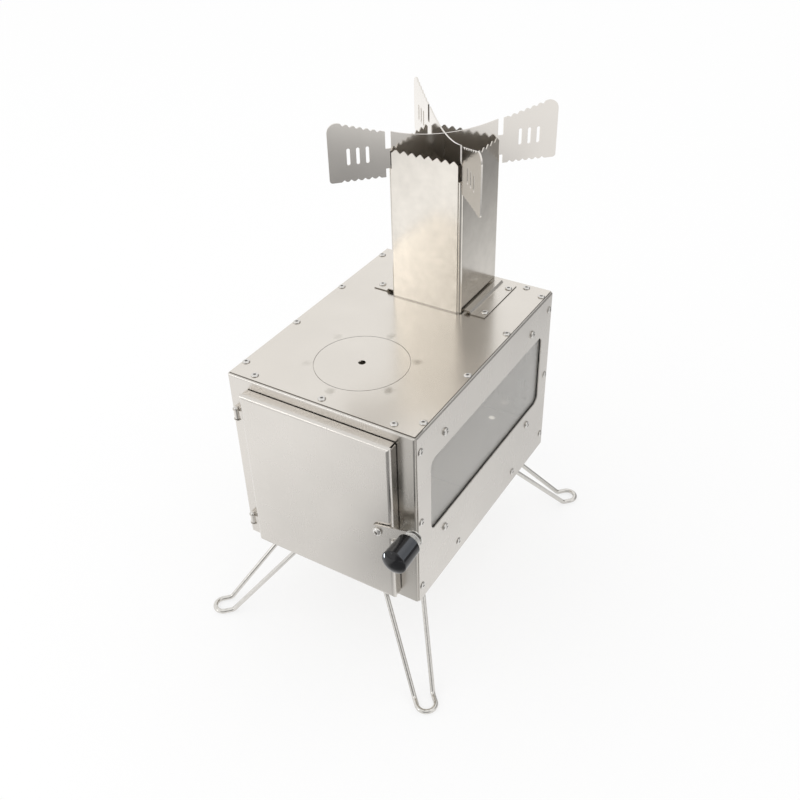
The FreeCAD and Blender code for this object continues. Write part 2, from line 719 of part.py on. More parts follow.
def make_chimney_shell(label, turn):
    """Half of the chimney: two walls, a tucked seam, a foot, a toothed rim and slotted corners.

    It is drawn about the chimney's axis with the top plate at z = 0; the other half is the same
    piece turned half round.
    """
    body = new_body(label)
    half, inside = "chimney_side / 2", "(chimney_side / 2 - chimney_gauge)"
    seam_end = f"({half} - seam_setback)"
    tuck, tuck_inside = inside, f"({inside} - chimney_gauge)"
    lap = f"(seam_lap - {half})"
    sketch = draw(body, "XY_Plane")
    outline(sketch, [(seam_end, f"-{half}"), (f"-{half}", f"-{half}"), (f"-{half}", tuck), (lap, tuck),
                     (lap, tuck_inside), (f"-{inside}", tuck_inside), (f"-{inside}", f"-{inside}"),
                     (seam_end, f"-{inside}")])
    pad(sketch, "chimney_height")
    round_edges(body, [[(0, f"-{half}"), (1, f"-{half}")], [(0, f"-{half}"), (1, tuck)]], "chimney_bend")
    round_edges(body, [[(0, f"-{inside}"), (1, f"-{inside}")], [(0, f"-{inside}"), (1, tuck_inside)]],
                "chimney_bend - chimney_gauge")
    block(body, (f"-{half} - foot_reach", f"-{inside}"), ("-foot_length / 2", "foot_length / 2"),
          ("0", "chimney_gauge"))
    pitch = "chimney_side / chimney_teeth"
    for role in ("XZ_Plane", "YZ_Plane"):
        sketch = draw(body, role, at=f"-{half} - chimney_gauge", across=f"-{half} + {pitch} / 2",
                      up="chimney_height")
        edge = f"({pitch} - tooth_flat) / 2"
        outline(sketch, [(f"-{edge}", "tooth_over"), ("0", "-tooth_depth"), (edge, "tooth_over")])
        tooth = pocket(sketch, "3 * chimney_gauge")
        row_of(tooth, sketch, f"chimney_side - {pitch}", "chimney_teeth")
    # The tuck stays below the teeth of the wall that covers it
    sketch = draw(body, "XZ_Plane", at=half)
    rectangle(sketch, (f"-{half}", f"{lap} + chimney_gauge"),
              ("chimney_height - tooth_depth", "chimney_height + tooth_over"))
    pocket(sketch, "3 * chimney_gauge", forward=False)
    for angle in ("45", "-45"):
        sketch = draw(body, "XY_Plane", at="chimney_height", turn=angle)
        rectangle(sketch, ("-chimney_side", "chimney_side"), ("-slot_width / 2", "slot_width / 2"))
        pocket(sketch, "slot_depth", forward=False)
    place(body, "0", CHIMNEY_Y, TOP, turn=turn)


def make_pot_support(label, angle, slot_from_top):
    """One of two crossed plates: a sagging web in the chimney and a toothed wing past each corner.

    It is drawn along X about the chimney's axis with the chimney's rim at z = 0, one half first.
    """
    body = new_body(label)
    thick = "pot_gauge"
    rise = f"(wing_reach - {NECK_OUT}) * tan(wing_slope)"
    sketch = draw(body, "XZ_Plane", at="-pot_gauge / 2")
    outline(sketch, [("0", "-web_bottom"), (WEB_END, "-web_bottom"), (WEB_END, "-slot_depth"),
                     (NECK_OUT, "-slot_depth"), (NECK_OUT, "-wing_bottom"), ("wing_reach", "-wing_bottom"),
                     ("wing_reach", f"wing_top + {rise}"), (NECK_OUT, "wing_top"),
                     (NECK_OUT, "0"), (NECK_IN, "0"), (NECK_IN, "web_top"), ("0", "web_top")])
    pad(sketch, thick)
    round_edges(body, [[(0, "wing_reach"), (2, f"wing_top + {rise}")]], "wing_corner")
    round_edges(body, [[(0, "wing_reach"), (2, "-wing_bottom")]], "wing_toe")
    sketch = draw(body, "XZ_Plane", at="-pot_gauge")
    dip = f"({NECK_IN} * {NECK_IN} + web_sag * web_sag) / (2 * web_sag)"
    circle(sketch, "0", f"web_top - web_sag + {dip}", dip)
    pocket(sketch, "2 * pot_gauge")
    edges = (("wing_top", "wing_slope", "-wing_notch_depth", "wing_notch_over"),
             ("-wing_bottom", "0", "wing_notch_depth", "-wing_notch_over"))
    for height, slope, depth, over in edges:
        sketch = draw(body, "XZ_Plane", at="-pot_gauge", across=NECK_OUT, up=height, turn=slope)
        outline(sketch, [("wing_first - wing_notch / 2", over), ("wing_first", depth),
                         ("wing_first + wing_notch / 2", over)])
        notch = pocket(sketch, "2 * pot_gauge")
        row_of(notch, sketch, "(wing_teeth - 1) * wing_pitch", "wing_teeth")
    sketch = draw(body, "XZ_Plane", at="-pot_gauge", across=NECK_OUT, up="-wing_bottom")
    rounded_rectangle(sketch, ("(vent_first - vent_width / 2)", "(vent_first + vent_width / 2)"),
                      ("vent_low", "(vent_low + vent_length)"), "(vent_width - vent_flat) / 2")
    vent = pocket(sketch, "2 * pot_gauge")
    row_of(vent, sketch, "(vent_count - 1) * vent_pitch", "vent_count")
    both = body.newObject("PartDesign::Mirrored", f"{label}_halves")
    both.TransformMode = "Whole shape"
    both.MirrorPlane = (origin_plane(body, "YZ_Plane"), [""])
    body.Tip = both
    doc.recompute()
    middle = "(web_top - web_sag - web_bottom) / 2"
    sketch = draw(body, "XZ_Plane", at="-pot_gauge")
    gap = "(pot_gauge / 2 + pot_clearance)"
    ends = (middle, "web_top") if slot_from_top else ("-web_bottom - gauge", f"{middle} + pot_clearance")
    rectangle(sketch, (f"-{gap}", gap), ends)
    pocket(sketch, "2 * pot_gauge")
    place(body, "0", CHIMNEY_Y, "body_height + chimney_height", turn=angle)


def make_door_pan():
    """The door: a shallow folded pan with open corners and a hole for the latch's screw."""
    body = new_body("door_pan")
    left, right = "-door_left", "(door_width - door_left)"
    low, high = "door_bottom", "(door_bottom + door_height)"
    face = f"-{DOOR_FACE}"
    block(body, (left, right), (face, "-door_gap"), (low, high))
    round_edges(body, [[(1, face), (0, left)], [(1, face), (0, right)], [(1, face), (2, low)],
                       [(1, face), (2, high)]], "door_bend")
    fold(body, [(1, "-door_gap")])
    sketch = draw(body, "XZ_Plane", at="-door_gap")
    for across in ((left, f"{left} + door_relief"), (f"{right} - door_relief", right)):
        rectangle(sketch, across, (low, f"{low} + door_relief"))
        rectangle(sketch, across, (f"{high} - door_relief", high))
    pocket(sketch, "door_depth - door_bend", forward=False)
    sketch = draw(body, "XZ_Plane", at=face)
    circle(sketch, "latch_x", "latch_z", "latch_pin + fit")
    pocket(sketch, "2 * gauge")
    place(body)


def make_hinge(name, middle):
    """A channel-shaped bracket on the front frame and the door's strap, curled round the pin."""
    bracket = new_body(f"{name}_hinge_bracket")
    low, high = f"({middle} - hinge_height / 2)", f"({middle} + hinge_height / 2)"
    out = "-(hinge_y + hinge_reach)"
    sketch = draw(bracket, "YZ_Plane", at="-hinge_x - hinge_width / 2")
    outline(sketch, [("0", low), ("0", high), (out, high), (out, f"{high} - gauge"),
                     ("-gauge", f"{high} - gauge"), ("-gauge", f"{low} + gauge"), (out, f"{low} + gauge"),
                     (out, low)])
    pad(sketch, "hinge_width")
    sides = [f"-hinge_x {sign} hinge_width / 2" for sign in "+-"]
    round_edges(bracket, [[(0, side), (1, out)] for side in sides], "hinge_round")
    sketch = draw(bracket, "XY_Plane", at=high)
    circle(sketch, "-hinge_x", "-hinge_y", "hinge_pin + fit")
    pocket(sketch, "hinge_height", forward=False)
    place(bracket)
    strap = new_body(f"{name}_door_strap")
    start = f"{low} + gauge + knuckle_gap"
    height = "hinge_height - 2 * gauge - 2 * knuckle_gap"
    near, far = "-hinge_y - strap_gauge / 2", "-hinge_y + strap_gauge / 2"
    foot = "(-door_left - strap_gauge)"
    sketch = draw(strap, "XY_Plane", at=start)
    outline(sketch, [("-hinge_x", near), (foot, near), (foot, "-hinge_y - strap_foot / 2"),
                     ("-door_left", "-hinge_y - strap_foot / 2"), ("-door_left", far), ("-hinge_x", far)])
    pad(sketch, height)
    sketch = draw(strap, "XY_Plane", at=start)
    circle(sketch, "-hinge_x", "-hinge_y", "knuckle")
    pad(sketch, height)
    sketch = draw(strap, "XY_Plane", at=start)
    circle(sketch, "-hinge_x", "-hinge_y", "hinge_pin + fit")
    pocket(sketch, height)
    place(strap)
    at = ("-hinge_x", "-hinge_y", low)
    bar = cylinder(f"{name}_pin_bar", "hinge_pin", "hinge_height", at)
    head = cylinder(f"{name}_pin_head", "pin_head_radius", "pin_head_height", (*at[:2], high))
    return joined(f"{name}_pin", bar, head)


def make_latch_on_door():
    """The latch's pivot screw, its nut inside the door and the washer behind the lever."""
    forward = (1, 0, 0)

    def round_part(label, radius, height, depth):
        at = ("latch_x", f"-({depth})", "latch_z")
        return cylinder(label, radius, height, at, forward, "90")

    nut_back = f"{DOOR_FACE} - gauge - latch_nut_height"
    head = round_part("latch_head", "latch_head_radius", "latch_head_height", LEVER_FACE)
    bar = round_part("latch_bar", "latch_pin", f"{LEVER_FACE} - ({nut_back})", nut_back)
    screw = joined("latch_screw", head, bar)
    screw.Label = "latch_screw"
    place(screw)
    disc = round_part("washer_disc", "washer_radius", "washer_gauge", DOOR_FACE)
    hole = round_part("washer_hole", "latch_pin + fit", "washer_gauge", DOOR_FACE)
    washer = cut("latch_washer", disc, hole)
    washer.Label = "latch_washer"
    place(washer)
    hexagon = solid("Part::Prism", "latch_nut_hexagon",
                    {"Circumradius": "latch_nut_radius", "Height": "latch_nut_height"},
                    ("latch_x", f"-({nut_back})", "latch_z"), forward, "90")
    bore = round_part("latch_nut_bore", "latch_pin + fit", "latch_nut_height", nut_back)
    nut = cut("latch_nut", hexagon, bore)
    nut.Label = "latch_nut"
    place(nut)


def make_latch_lever():
    """The flat lever, drawn along X from its pivot and then tilted to its rest."""
    body = new_body("latch_lever")
    sketch = draw(body, "XZ_Plane")
    tapered_slot(sketch, LEVER_LENGTH, "lever_pivot_end", "lever_knob_end")
    circle(sketch, "0", "0", "latch_pin + fit")
    circle(sketch, LEVER_LENGTH, "0", "stud_radius + fit")
    pad(sketch, "lever_gauge", forward=False)
    place(body, "latch_x", f"-{LEVER_BACK}", "latch_z", axis=(0, -1, 0), turn=LEVER_TILT)


def make_latch_keeper():
    """A bent strip on the front frame; the lever comes down on its shelf."""
    body = new_body("latch_keeper")
    shelf = (f"(latch_z + (keeper_x - latch_x) * tan({LEVER_TILT})"
             f" - lever_pivot_end / cos({LEVER_TILT}) - keeper_gap)")
    sketch = draw(body, "YZ_Plane", at="keeper_x")
    outline(sketch, [("0", f"{shelf} - keeper_base"), ("0", shelf), ("-keeper_reach", shelf),
                     ("-keeper_reach", f"{shelf} - keeper_lip"),
                     ("-keeper_reach + gauge", f"{shelf} - keeper_lip"),
                     ("-keeper_reach + gauge", f"{shelf} - gauge"), ("-gauge", f"{shelf} - gauge"),
                     ("-gauge", f"{shelf} - keeper_base")])
    pad(sketch, "keeper_width")
    place(body)


def make_knob():
    """The turned knob with a domed end and a blind bore, and the stud that carries it."""
    body = new_body("knob")
    sketch = draw(body, "XY_Plane")
    bore, shoulder = "(stud_radius + fit)", "-(knob_length - knob_dome)"
    corners = [(bore, "0"), ("knob_rear", "0"), ("knob_front", shoulder), ("0", "-knob_length"),
               ("0", "-stud_depth"), (bore, "-stud_depth")]
    runs = [(0, 1), (1, 2), (3, 4), (4, 5), (5, 0)]
    lines = [line(sketch, corners[start], corners[end]) for start, end in runs]
    crown = "((knob_front * knob_front + knob_dome * knob_dome) / (2 * knob_dome))"
    spread = math.degrees(math.asin(value("knob_front") / value(crown)))
    dome = arc(sketch, ("0", f"{crown} - knob_length"), crown, 270, 270 + spread)
    for index, (start, end) in zip(lines, runs):
        pin_point(sketch, index, 1, corners[start])
        pin_point(sketch, index, 2, corners[end])
    sketch.addConstraint(Sketcher.Constraint("Coincident", dome, 2, lines[1], 2))
    sketch.addConstraint(Sketcher.Constraint("Coincident", dome, 1, lines[2], 1))
    turned = body.newObject("PartDesign::Revolution", "knob_turned")
    turned.Profile = sketch
    turned.ReferenceAxis = (sketch, ["V_Axis"])
    turned.Angle = 360
    doc.recompute()
    round_edges(body, [[(1, shoulder)]], "knob_round")
    place(body, "knob_x", f"-{KNOB_REAR}", "knob_z")
    forward = (1, 0, 0)
    back = f"({LEVER_BACK} - stud_head_height)"
    head = cylinder("stud_head", "stud_head_radius", "stud_head_height",
                    ("knob_x", f"-{back}", "knob_z"), forward, "90")
    bar = cylinder("stud_bar", "stud_radius", f"{KNOB_REAR} + stud_depth - gauge - {back}",
                   ("knob_x", f"-{back}", "knob_z"), forward, "90")
    stud = joined("knob_stud", head, bar)
    stud.Label = "knob_stud"
    place(stud)
    at = ("knob_x", f"-{LEVER_FACE}", "knob_z")
    disc = cylinder("seat_disc", "seat_radius", "seat_gauge", at, forward, "90")
    hole = cylinder("seat_hole", "stud_radius + fit", "seat_gauge", at, forward, "90")
    seat = cut("spring_seat", disc, hole)
    seat.Label = "spring_seat"
    place(seat)


def bent_path(corners):
    """Straight runs joined by tangent arcs; each corner is a point and its bend radius."""
    edges, last = [], corners[0][0]
    for before, (point, radius), after in zip(corners, corners[1:], corners[2:]):
        back = (before[0] - point).normalize()
        ahead = (after[0] - point).normalize()
        turn = math.pi - back.getAngle(ahead)
        reach = radius * math.tan(turn / 2)
        start, end = point + back * reach, point + ahead * reach
        inward = (back + ahead).normalize()
        middle = point + inward * (radius / math.cos(turn / 2) - radius)
        edges += [Part.LineSegment(last, start).toShape(), Part.Arc(start, middle, end).toShape()]
        last = end
    return edges + [Part.LineSegment(last, corners[-1][0]).toShape()]


def tube(edges, radius):
    """A round bar along a path of tangent lines and arcs."""
    path = Part.Wire(edges)
    start = edges[0].valueAt(edges[0].FirstParameter)
    along = edges[0].tangentAt(edges[0].FirstParameter)
    section = Part.Wire(Part.Circle(start, along, radius).toShape())
    bar = path.makePipeShell([section], True, False)
    share = bar.Volume / (math.pi * radius ** 2 * path.Length)
    if abs(share - 1) > 0.01:
        raise RuntimeError(f"a bent bar has {share:.3f} of its volume")
    return bar


def biarc(start, start_way, end, end_way):
    """Two arcs that join two points and keep the direction at each."""
    span, ways = end - start, start_way + end_way
    spare = 2 * (1 - start_way.dot(end_way))
    reach = (math.sqrt(span.dot(ways) ** 2 + spare * span.dot(span)) - span.dot(ways)) / spare
    joint = (start + end + (start_way - end_way) * reach) * 0.5
    edges = []
    for near, corner, far in ((start, start + start_way * reach, joint), (joint, end - end_way * reach, end)):
        half = (near + far) * 0.5
        chord = (far - near).Length / 2
        sagitta = chord * math.tan(math.acos(chord / reach) / 2)
        edges.append(Part.Arc(near, half + (corner - half).normalize() * sagitta, far).toShape())
    return edges


def make_knob_spring():
    """The coil between the lever and the knob: one wire whose ends run straight into their seats."""
    radius, pitch, wire = value("coil_radius"), value("coil_pitch"), value("coil_wire")
    lead, bend = value("coil_wire"), value("coil_bend")
    quarters = int(value("coil_quarters"))

    def point(turn, rise):
        return FreeCAD.Vector(radius * math.cos(turn), radius * math.sin(turn), rise)

    def way(turn):
        slope = pitch / (2 * math.pi)
        return FreeCAD.Vector(-radius * math.sin(turn), radius * math.cos(turn), slope).normalize()

    # The wire leaves its seat, bends into the coil, winds and bends back out again
    up = FreeCAD.Vector(0, 0, 1)
    level = lead + bend
    start, last = quarters * math.pi / 2, level + quarters / 4 * pitch
    first = point(0, level) - way(0) * bend
    seat = FreeCAD.Vector(first.x, first.y, 0)
    edges = [Part.LineSegment(seat, seat + up * lead).toShape()]
    edges += biarc(seat + up * lead, up, point(0, level), way(0))
    for n in range(quarters):
        here, there = n * math.pi / 2, (n + 1) * math.pi / 2
        edges += biarc(point(here, level + n / 4 * pitch), way(here),
                       point(there, level + (n + 1) / 4 * pitch), way(there))
    leave = point(start, last) + way(start) * bend
    cap = FreeCAD.Vector(leave.x, leave.y, last + bend)
    edges += biarc(point(start, last), way(start), cap, up)
    edges.append(Part.LineSegment(cap, cap + up * lead).toShape())

    # The least gap of the wire to itself, on points a quarter turn or more apart
    spots = Part.Wire(edges).discretize(Distance=wire / 2)
    apart = int(math.pi / 2 * radius / (wire / 2))
    gap = min((a - b).Length for n, a in enumerate(spots) for b in spots[n + apart:]) - wire
    print(f"knob_spring: least gap to itself {gap:.2f} mm")
    if gap < 0.4:
        raise RuntimeError("the coil touches itself")
    spring = doc.addObject("Part::Feature", "knob_spring")
    spring.Label = "knob_spring"
    spring.Shape = tube(edges, wire / 2)
    place(spring, "knob_x", f"-{LEVER_FACE} - seat_gauge", "knob_z", axis=(1, 0, 0), turn="90")


def make_leg(label, x, y, angle):
    """A hairpin wire leg and the bracket under the floor that its two bent ends turn in.

    Both are drawn about the pivot, with +X the way that the leg splays and Y along the pivot.
    """
    wire, foot_half = value("wire"), value("leg_foot_half")
    drop, reach = value(LEG_DROP), value("leg_reach")
    tip = reach + value("leg_foot") - wire / 2
    half = [(FreeCAD.Vector(0, -value("leg_pin_end"), 0), 0),
            (FreeCAD.Vector(0, -value("leg_top_half"), 0), value("wire_bend")),
            (FreeCAD.Vector(reach, -foot_half, -drop), value("wire_bend")),
            (FreeCAD.Vector(tip, -foot_half, -drop), foot_half - value("foot_flat"))]
    other = [(FreeCAD.Vector(point.x, -point.y, point.z), radius) for point, radius in reversed(half)]
    leg = doc.addObject("Part::Feature", f"{label}_leg")
    leg.Label = f"{label}_leg"
    leg.Shape = tube(bent_path(half + other), wire / 2)
    place(leg, x, y, "leg_pivot_z", turn=angle)
    bracket = new_body(f"{label}_leg_bracket")
    steep = f"({LEG_DROP} / leg_reach)"
    stop = (f"(stop_gap - {steep} * (bracket_front - bracket_gauge)"
            f" + wire / 2 * sqrt(1 + {steep} * {steep}))")
    ceiling = "(floor_height - gauge - leg_pivot_z)"
    block(bracket, ("-bracket_back", "bracket_front"), ("-bracket_half", "bracket_half"), (stop, ceiling))
    fold(bracket, [(0, "-bracket_back"), (2, stop)], "bracket_gauge")
    sketch = draw(bracket, "XZ_Plane", at="-bracket_half")
    circle(sketch, "0", "0", "wire / 2 + fit")
    pocket(sketch, "2 * bracket_half")
    place(bracket, x, y, "leg_pivot_z", turn=angle)


def make_legs():
    """The four legs, each splayed away from the middle of the stove."""
    front, rear = "leg_inset_y", "body_depth - leg_inset_y"
    make_leg("front_right", LEG_X, front, "-45")
    make_leg("front_left", f"-{LEG_X}", front, "-135")
    make_leg("rear_right", LEG_X, rear, "45")
    make_leg("rear_left", f"-{LEG_X}", rear, "135")


def write_pieces():
    """Check every object, then write each piece to a file named after it."""
    doc.recompute()
    for item in doc.Objects:
        if "Invalid" in item.State or "Error" in item.State:
            raise RuntimeError(f"{item.Label} failed: {item.State}")
    for item in pieces:
        if item.Shape.isNull() or not item.Shape.isValid():
            raise RuntimeError(f"{item.Label} has no sound shape")
    os.makedirs("parts", exist_ok=True)
    for item in pieces:
        item.Shape.exportStep(f"parts/{item.Label}.step")
    print(f"{len(pieces)} pieces")


make_top_plate()
make_side_panel("right_side_panel", 1, True)
make_side_panel("left_side_panel", -1, False)
make_front_frame()
make_rear_panel()
make_floor_tray()
make_hearth_plate("front_hearth_plate", 0)
make_hearth_plate("rear_hearth_plate", 1)
make_lid_parts()
make_rail("right_rail", 1)
make_rail("left_rail", -1)
make_window()
make_window_screws()
make_rivets()
make_chimney_shell("chimney_front_shell", "0")
make_chimney_shell("chimney_rear_shell", "180")
make_pot_support("lower_pot_support", "45", True)
make_pot_support("upper_pot_support", "-45", False)
make_door_pan()
group("hinge_pins", [make_hinge("upper", "upper_hinge"), make_hinge("lower", "lower_hinge")])
make_latch_on_door()
make_latch_lever()
make_latch_keeper()
make_knob()
make_knob_spring()
make_legs()
write_pieces()
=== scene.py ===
"""Studio scene of a camping rocket stove: finishes for its sheet, glass, wire and knob, the heads of
its rivets, screws and hinge pins, and a white studio. It is laid out as an add-on and run as a script.

Metres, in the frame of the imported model: +X to the right, +Y to the rear, +Z up from the ground.
"""
import math

import bmesh
import bpy
from mathutils import Matrix, Vector


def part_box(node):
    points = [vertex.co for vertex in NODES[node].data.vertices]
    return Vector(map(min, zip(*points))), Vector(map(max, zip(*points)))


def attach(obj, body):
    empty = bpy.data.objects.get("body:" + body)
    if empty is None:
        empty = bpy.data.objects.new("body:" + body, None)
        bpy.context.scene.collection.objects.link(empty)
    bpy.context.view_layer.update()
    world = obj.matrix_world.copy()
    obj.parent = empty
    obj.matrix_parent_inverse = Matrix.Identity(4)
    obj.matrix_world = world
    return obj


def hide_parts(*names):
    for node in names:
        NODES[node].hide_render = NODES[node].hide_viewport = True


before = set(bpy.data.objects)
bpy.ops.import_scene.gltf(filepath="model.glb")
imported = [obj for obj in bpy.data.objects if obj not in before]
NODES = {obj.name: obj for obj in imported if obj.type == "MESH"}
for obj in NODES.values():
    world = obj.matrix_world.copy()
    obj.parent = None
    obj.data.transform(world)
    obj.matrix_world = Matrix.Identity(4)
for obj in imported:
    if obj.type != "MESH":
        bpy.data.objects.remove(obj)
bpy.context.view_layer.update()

bl_info = {
    "name": "Camp Stove Studio",
    "version": (1, 0, 0),
    "blender": (4, 5, 0),
    "location": "View3D > Sidebar > Stove",
    "description": "Finishes a packed camp stove and sets it in a white studio",
    "category": "Object",
}

MM = 0.001
FIREBOX_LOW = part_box("front_frame")[0]
LID_LOW, LID_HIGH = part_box("cooking_lid")

# Which pieces share a finish
UPRIGHT_SHEET = ("right_side_panel", "left_side_panel", "rear_panel", "door_pan")
FLAT_SHEET = ("floor_tray", "front_hearth_plate", "rear_hearth_plate", "lid_support_ring")
CHIMNEY_SHEET = ("chimney_front_shell", "chimney_rear_shell")
POT_SHEET = ("lower_pot_support", "upper_pot_support")
RAILS = ("left_rail", "right_rail")
SMALL_SHEET = ("upper_window_retainer", "lower_window_retainer", "upper_hinge_bracket",
               "lower_hinge_bracket", "upper_door_strap", "lower_door_strap", "latch_lever",
               "front_left_leg_bracket", "front_right_leg_bracket", "rear_left_leg_bracket",
               "rear_right_leg_bracket")
TURNED_STEEL = ("latch_washer", "latch_nut", "window_nuts", "knob_stud")
LEGS = ("front_left_leg", "front_right_leg", "rear_left_leg", "rear_right_leg")
# Rows of rivets, with the way that their heads look
RIVET_ROWS = {"top_rivets": "Z", "left_side_rivets": "-X", "right_side_rivets": "X", "rail_rivets": "Z"}

# How tightly the grain is drawn along X, Y and Z: least along the way that the sheet was rolled
GRAIN_UP = (6.0, 6.0, 0.25)
GRAIN_BACK = (6.0, 0.25, 6.0)
GRAIN_ACROSS = (0.25, 6.0, 6.0)
GRAIN_LEVEL = (0.5, 0.5, 6.0)
GRAIN_EVEN = (2.0, 2.0, 2.0)
COARSE_GRAIN = 0.08
# Noise on rolled sheet and round the welds: scale, detail and roughness
GRAIN_NOISE = (260.0, 3.0, 0.6)
SMUDGE_NOISE = (22.0, 2.0, 0.5)
WAVE_NOISE = (7.0, 1.0, 0.4)
WELD_NOISE = (230.0, 4.0, 0.65)
CLOUD_DETAIL = (4.0, 0.55)
NOISE_MIDDLE = 0.5
# How far grain and smudges change the sheet's roughness, and grain its relief
GRAIN_BLUR = 0.8
SMUDGE_BLUR = 0.03
GRAIN_RELIEF = 0.008

# Fine patterns of plain finishes, as values for the inputs of the group mottled_finish
PATTERNS = {
    "wear": {"Scale": 900.0, "Detail": 4.0, "Coarseness": 0.6,
             "Shade From": 0.25, "Shade To": 0.75, "Darkest": 0.86, "Lightest": 1.06,
             "Blur From": 0.2, "Blur To": 0.8, "Sharpest": -0.05, "Dullest": 0.08},
    "streak": {"Scale": 480.0, "Detail": 3.0, "Coarseness": 0.55,
               "Shade From": 0.3, "Shade To": 0.7, "Darkest": 0.9, "Lightest": 1.04,
               "Blur From": 0.25, "Blur To": 0.75, "Sharpest": -0.05, "Dullest": 0.08},
    "film": {"Scale": 22.0, "Detail": 4.0, "Coarseness": 0.6,
             "Shade From": 0.3, "Shade To": 0.7, "Darkest": 0.96, "Lightest": 1.0,
             "Blur From": 0.35, "Blur To": 0.75, "Sharpest": 0.0, "Dullest": 0.05},
    "flow": {"Scale": 130.0, "Detail": 4.0, "Coarseness": 0.55,
             "Shade From": 0.3, "Shade To": 0.7, "Darkest": 0.8, "Lightest": 1.3,
             "Blur From": 0.3, "Blur To": 0.8, "Sharpest": -0.04, "Dullest": 0.09},
}
WEAVE = {"Scale": 260.0, "Distortion": 3.0, "Detail": 2.0}
PORE_NOISE = (1500.0, 2.0, 0.5)
# Relief of the patterns: strength and depth
RELIEFS = {"wear": (0.06, 0.2 * MM), "streak": (0.05, 0.2 * MM), "weave": (0.5, 0.4 * MM),
           "pores": (0.03, 0.1 * MM)}
SHEET_RELIEF_DEPTH = 1.0 * MM

# The next rows are smooth steps: two limits, then the value at each
# Smudges, against their noise
SMUDGE_STEP = (0.45, 0.8, 0.0, 1.0)
# Darkening of a cut edge, against how flat the face lies
EDGE_TINT = (0.2, 0.5, 0.9, 0.0)
# Painted shade in a dark line along the chimney's foot, strongest on the side walls beside the rails:
# against the height above its foot and against how far a wall looks left or right
BASE_SHADE_LINE = (0.9 * MM, 1.8 * MM, 1.0, 0.0)
BASE_SHADE_SIDES = (0.3, 0.8, 0.4, 0.9)
# Roughness added in the chimney, against how far a face looks away from its middle
DULL_INSIDE = (-20 * MM, 0.0, 0.4, 0.0)
# Painted shade on the frame beside the door's latch side, where the door and the latch shade it: against the
# distance outside the door's edge and against the height from the latch
LATCH_SHADE_EDGE = (-8 * MM, 2 * MM, 0.0, 0.4)
LATCH_SHADE_HEIGHT = (0.0, 40 * MM, 1.6, 1.0)
# Heat tint, against the ragged distance from a weld and against the place across the lid
WELD_SPOT = (12.0 * MM, 5.5 * MM, 0.0, 0.85)
WELD_SIDES = (-40 * MM, 40 * MM, 0.3, 1.0)
# Shade and roughness of the gasket, against its weave
WEAVE_SHADE = (0.1, 0.9, 0.5, 1.5)
WEAVE_BLUR = (0.0, 1.0, 0.75, 0.95)
# Brightness of the floor and of the room's window in metal, against X
FLOOR_GLOW = (-0.28, -0.12, 1.15, 1.0)
WINDOW_GLOW = (-0.50, -0.40, 2.0, -0.3)

# The middle of the painted shade above the latch lever's lower edge
LATCH_SHADE_RISE = 12 * MM
# Welds round the lid, their distance outside it, and how far their edges stray
WELDS = 6
WELD_RING = 6.5 * MM
WELD_RAGGED = 10.0 * MM
# How dark a rivet's hollow is beside its head: the broken mandrel's duller steel, darkened further as
# painted shade in the hollow
STUB_AND_HOLLOW_SHADE = 0.35
GLASS_CLARITY = 0.86
GLASS_IOR = 1.47
KNOB_IOR = 1.5
KNOB_SPECULAR = 0.45
FLOOR_ROUGHNESS = 0.9

# Outlines of heads from the seat to the middle, as shares of a radius and of the head's height
RIVET_DOME = ((0.84, 0.0), (1.0, 0.2), (1.0, 0.3), (0.93, 0.55), (0.78, 0.82), (0.58, 1.0))
RIVET_HOLLOW = ((1.18, 0.96), (1.0, 0.8), (0.94, 0.3), (0.0, 0.3))
SCREW_DOME = ((1.0, 0.0), (1.0, 0.34), (0.94, 0.6), (0.78, 0.84), (0.5, 0.97), (0.0, 1.0))
PIN_DOME = ((1.0, 0.0), (1.0, 0.3), (0.92, 0.58), (0.7, 0.84), (0.4, 0.97), (0.0, 1.0))
# Chamfered ends of shanks: share of the radius, and height
SCREW_TIP = (0.86, 0.3 * MM)
PIN_TIP = (0.85, 0.2 * MM)
# Faces of a rivet's hollow lie higher than this share of its height
RIVET_SEAT = 0.05
# A cross recess: its length as a share of the rim's radius, the height of its middle as a share of the
# head's, how far it narrows, and its turn
CROSS_LENGTH = 1.15
CROSS_LIFT = 0.95
CROSS_TAPER = 0.55
CROSS_TURN = math.radians(25)
# Corners this close to the furthest reach belong to heads, and corners this close together to one head
CROWN_DEPTH = 0.01 * MM
HEAD_SPACING = 10 * MM
# Doubled corners of a turned shape lie closer than this
MERGE_DISTANCE = 0.001 * MM

# Soft zones, seen in metal only: how grey, then an axis, where the zone fades out and where it is full
FLOOR_FRONT = ("Y", FIREBOX_LOW.y - 0.03, FIREBOX_LOW.y - 0.2)
FLOOR_ZONES = (
    (0.75, (("X", -0.104, 0.009), ("X", 1.12, 0.86), FLOOR_FRONT)),
    (0.06, (("X", -0.26, -0.02), ("X", 1.12, 0.86), FLOOR_FRONT)),
    (0.85, (("X", 0.15, 0.55), ("Y", 0.25, 0.65))),
    (0.20, (("X", 0.04, 0.1), ("X", 0.9, 0.5), ("Y", -0.05, 0.3))),
    (0.38, (("X", -0.5, -0.75), ("Y", 0.1, -0.1))),
)
ROOM_ZONES = (
    (0.8, (("X", -0.25, 0.15), ("Y", -0.2, -0.6), ("Z", 0.8, 0.45))),
    (0.75, (("X", -0.25, 0.15), ("Y", 0.1, 0.5), ("Z", 0.8, 0.45))),
)
WINDOW_LIMITS = (("X", -0.72, -0.62), ("X", -0.33, -0.37), ("Y", -0.55, -0.65), ("Z", 0.25, 0.35),
                 ("Z", 0.56, 0.48))

# Lamps: size and place
KEY_LAMP = ((2.2, 2.2), (-0.95, -1.5, 1.35))
KEY_TARGET = Vector((0, 0, 0.25))
GLINT_LAMP = ((0.04, 0.1), (-0.245, -0.31, 0.06))
KNOB_LAMP = ((1.6, 1.2), (0.85, 0.45, 0.85))
# Millimetres, as the lens
SENSOR_WIDTH = 36.0

VECTOR = "NodeSocketVector"
COLOUR = "NodeSocketColor"
VALUE = "NodeSocketFloat"


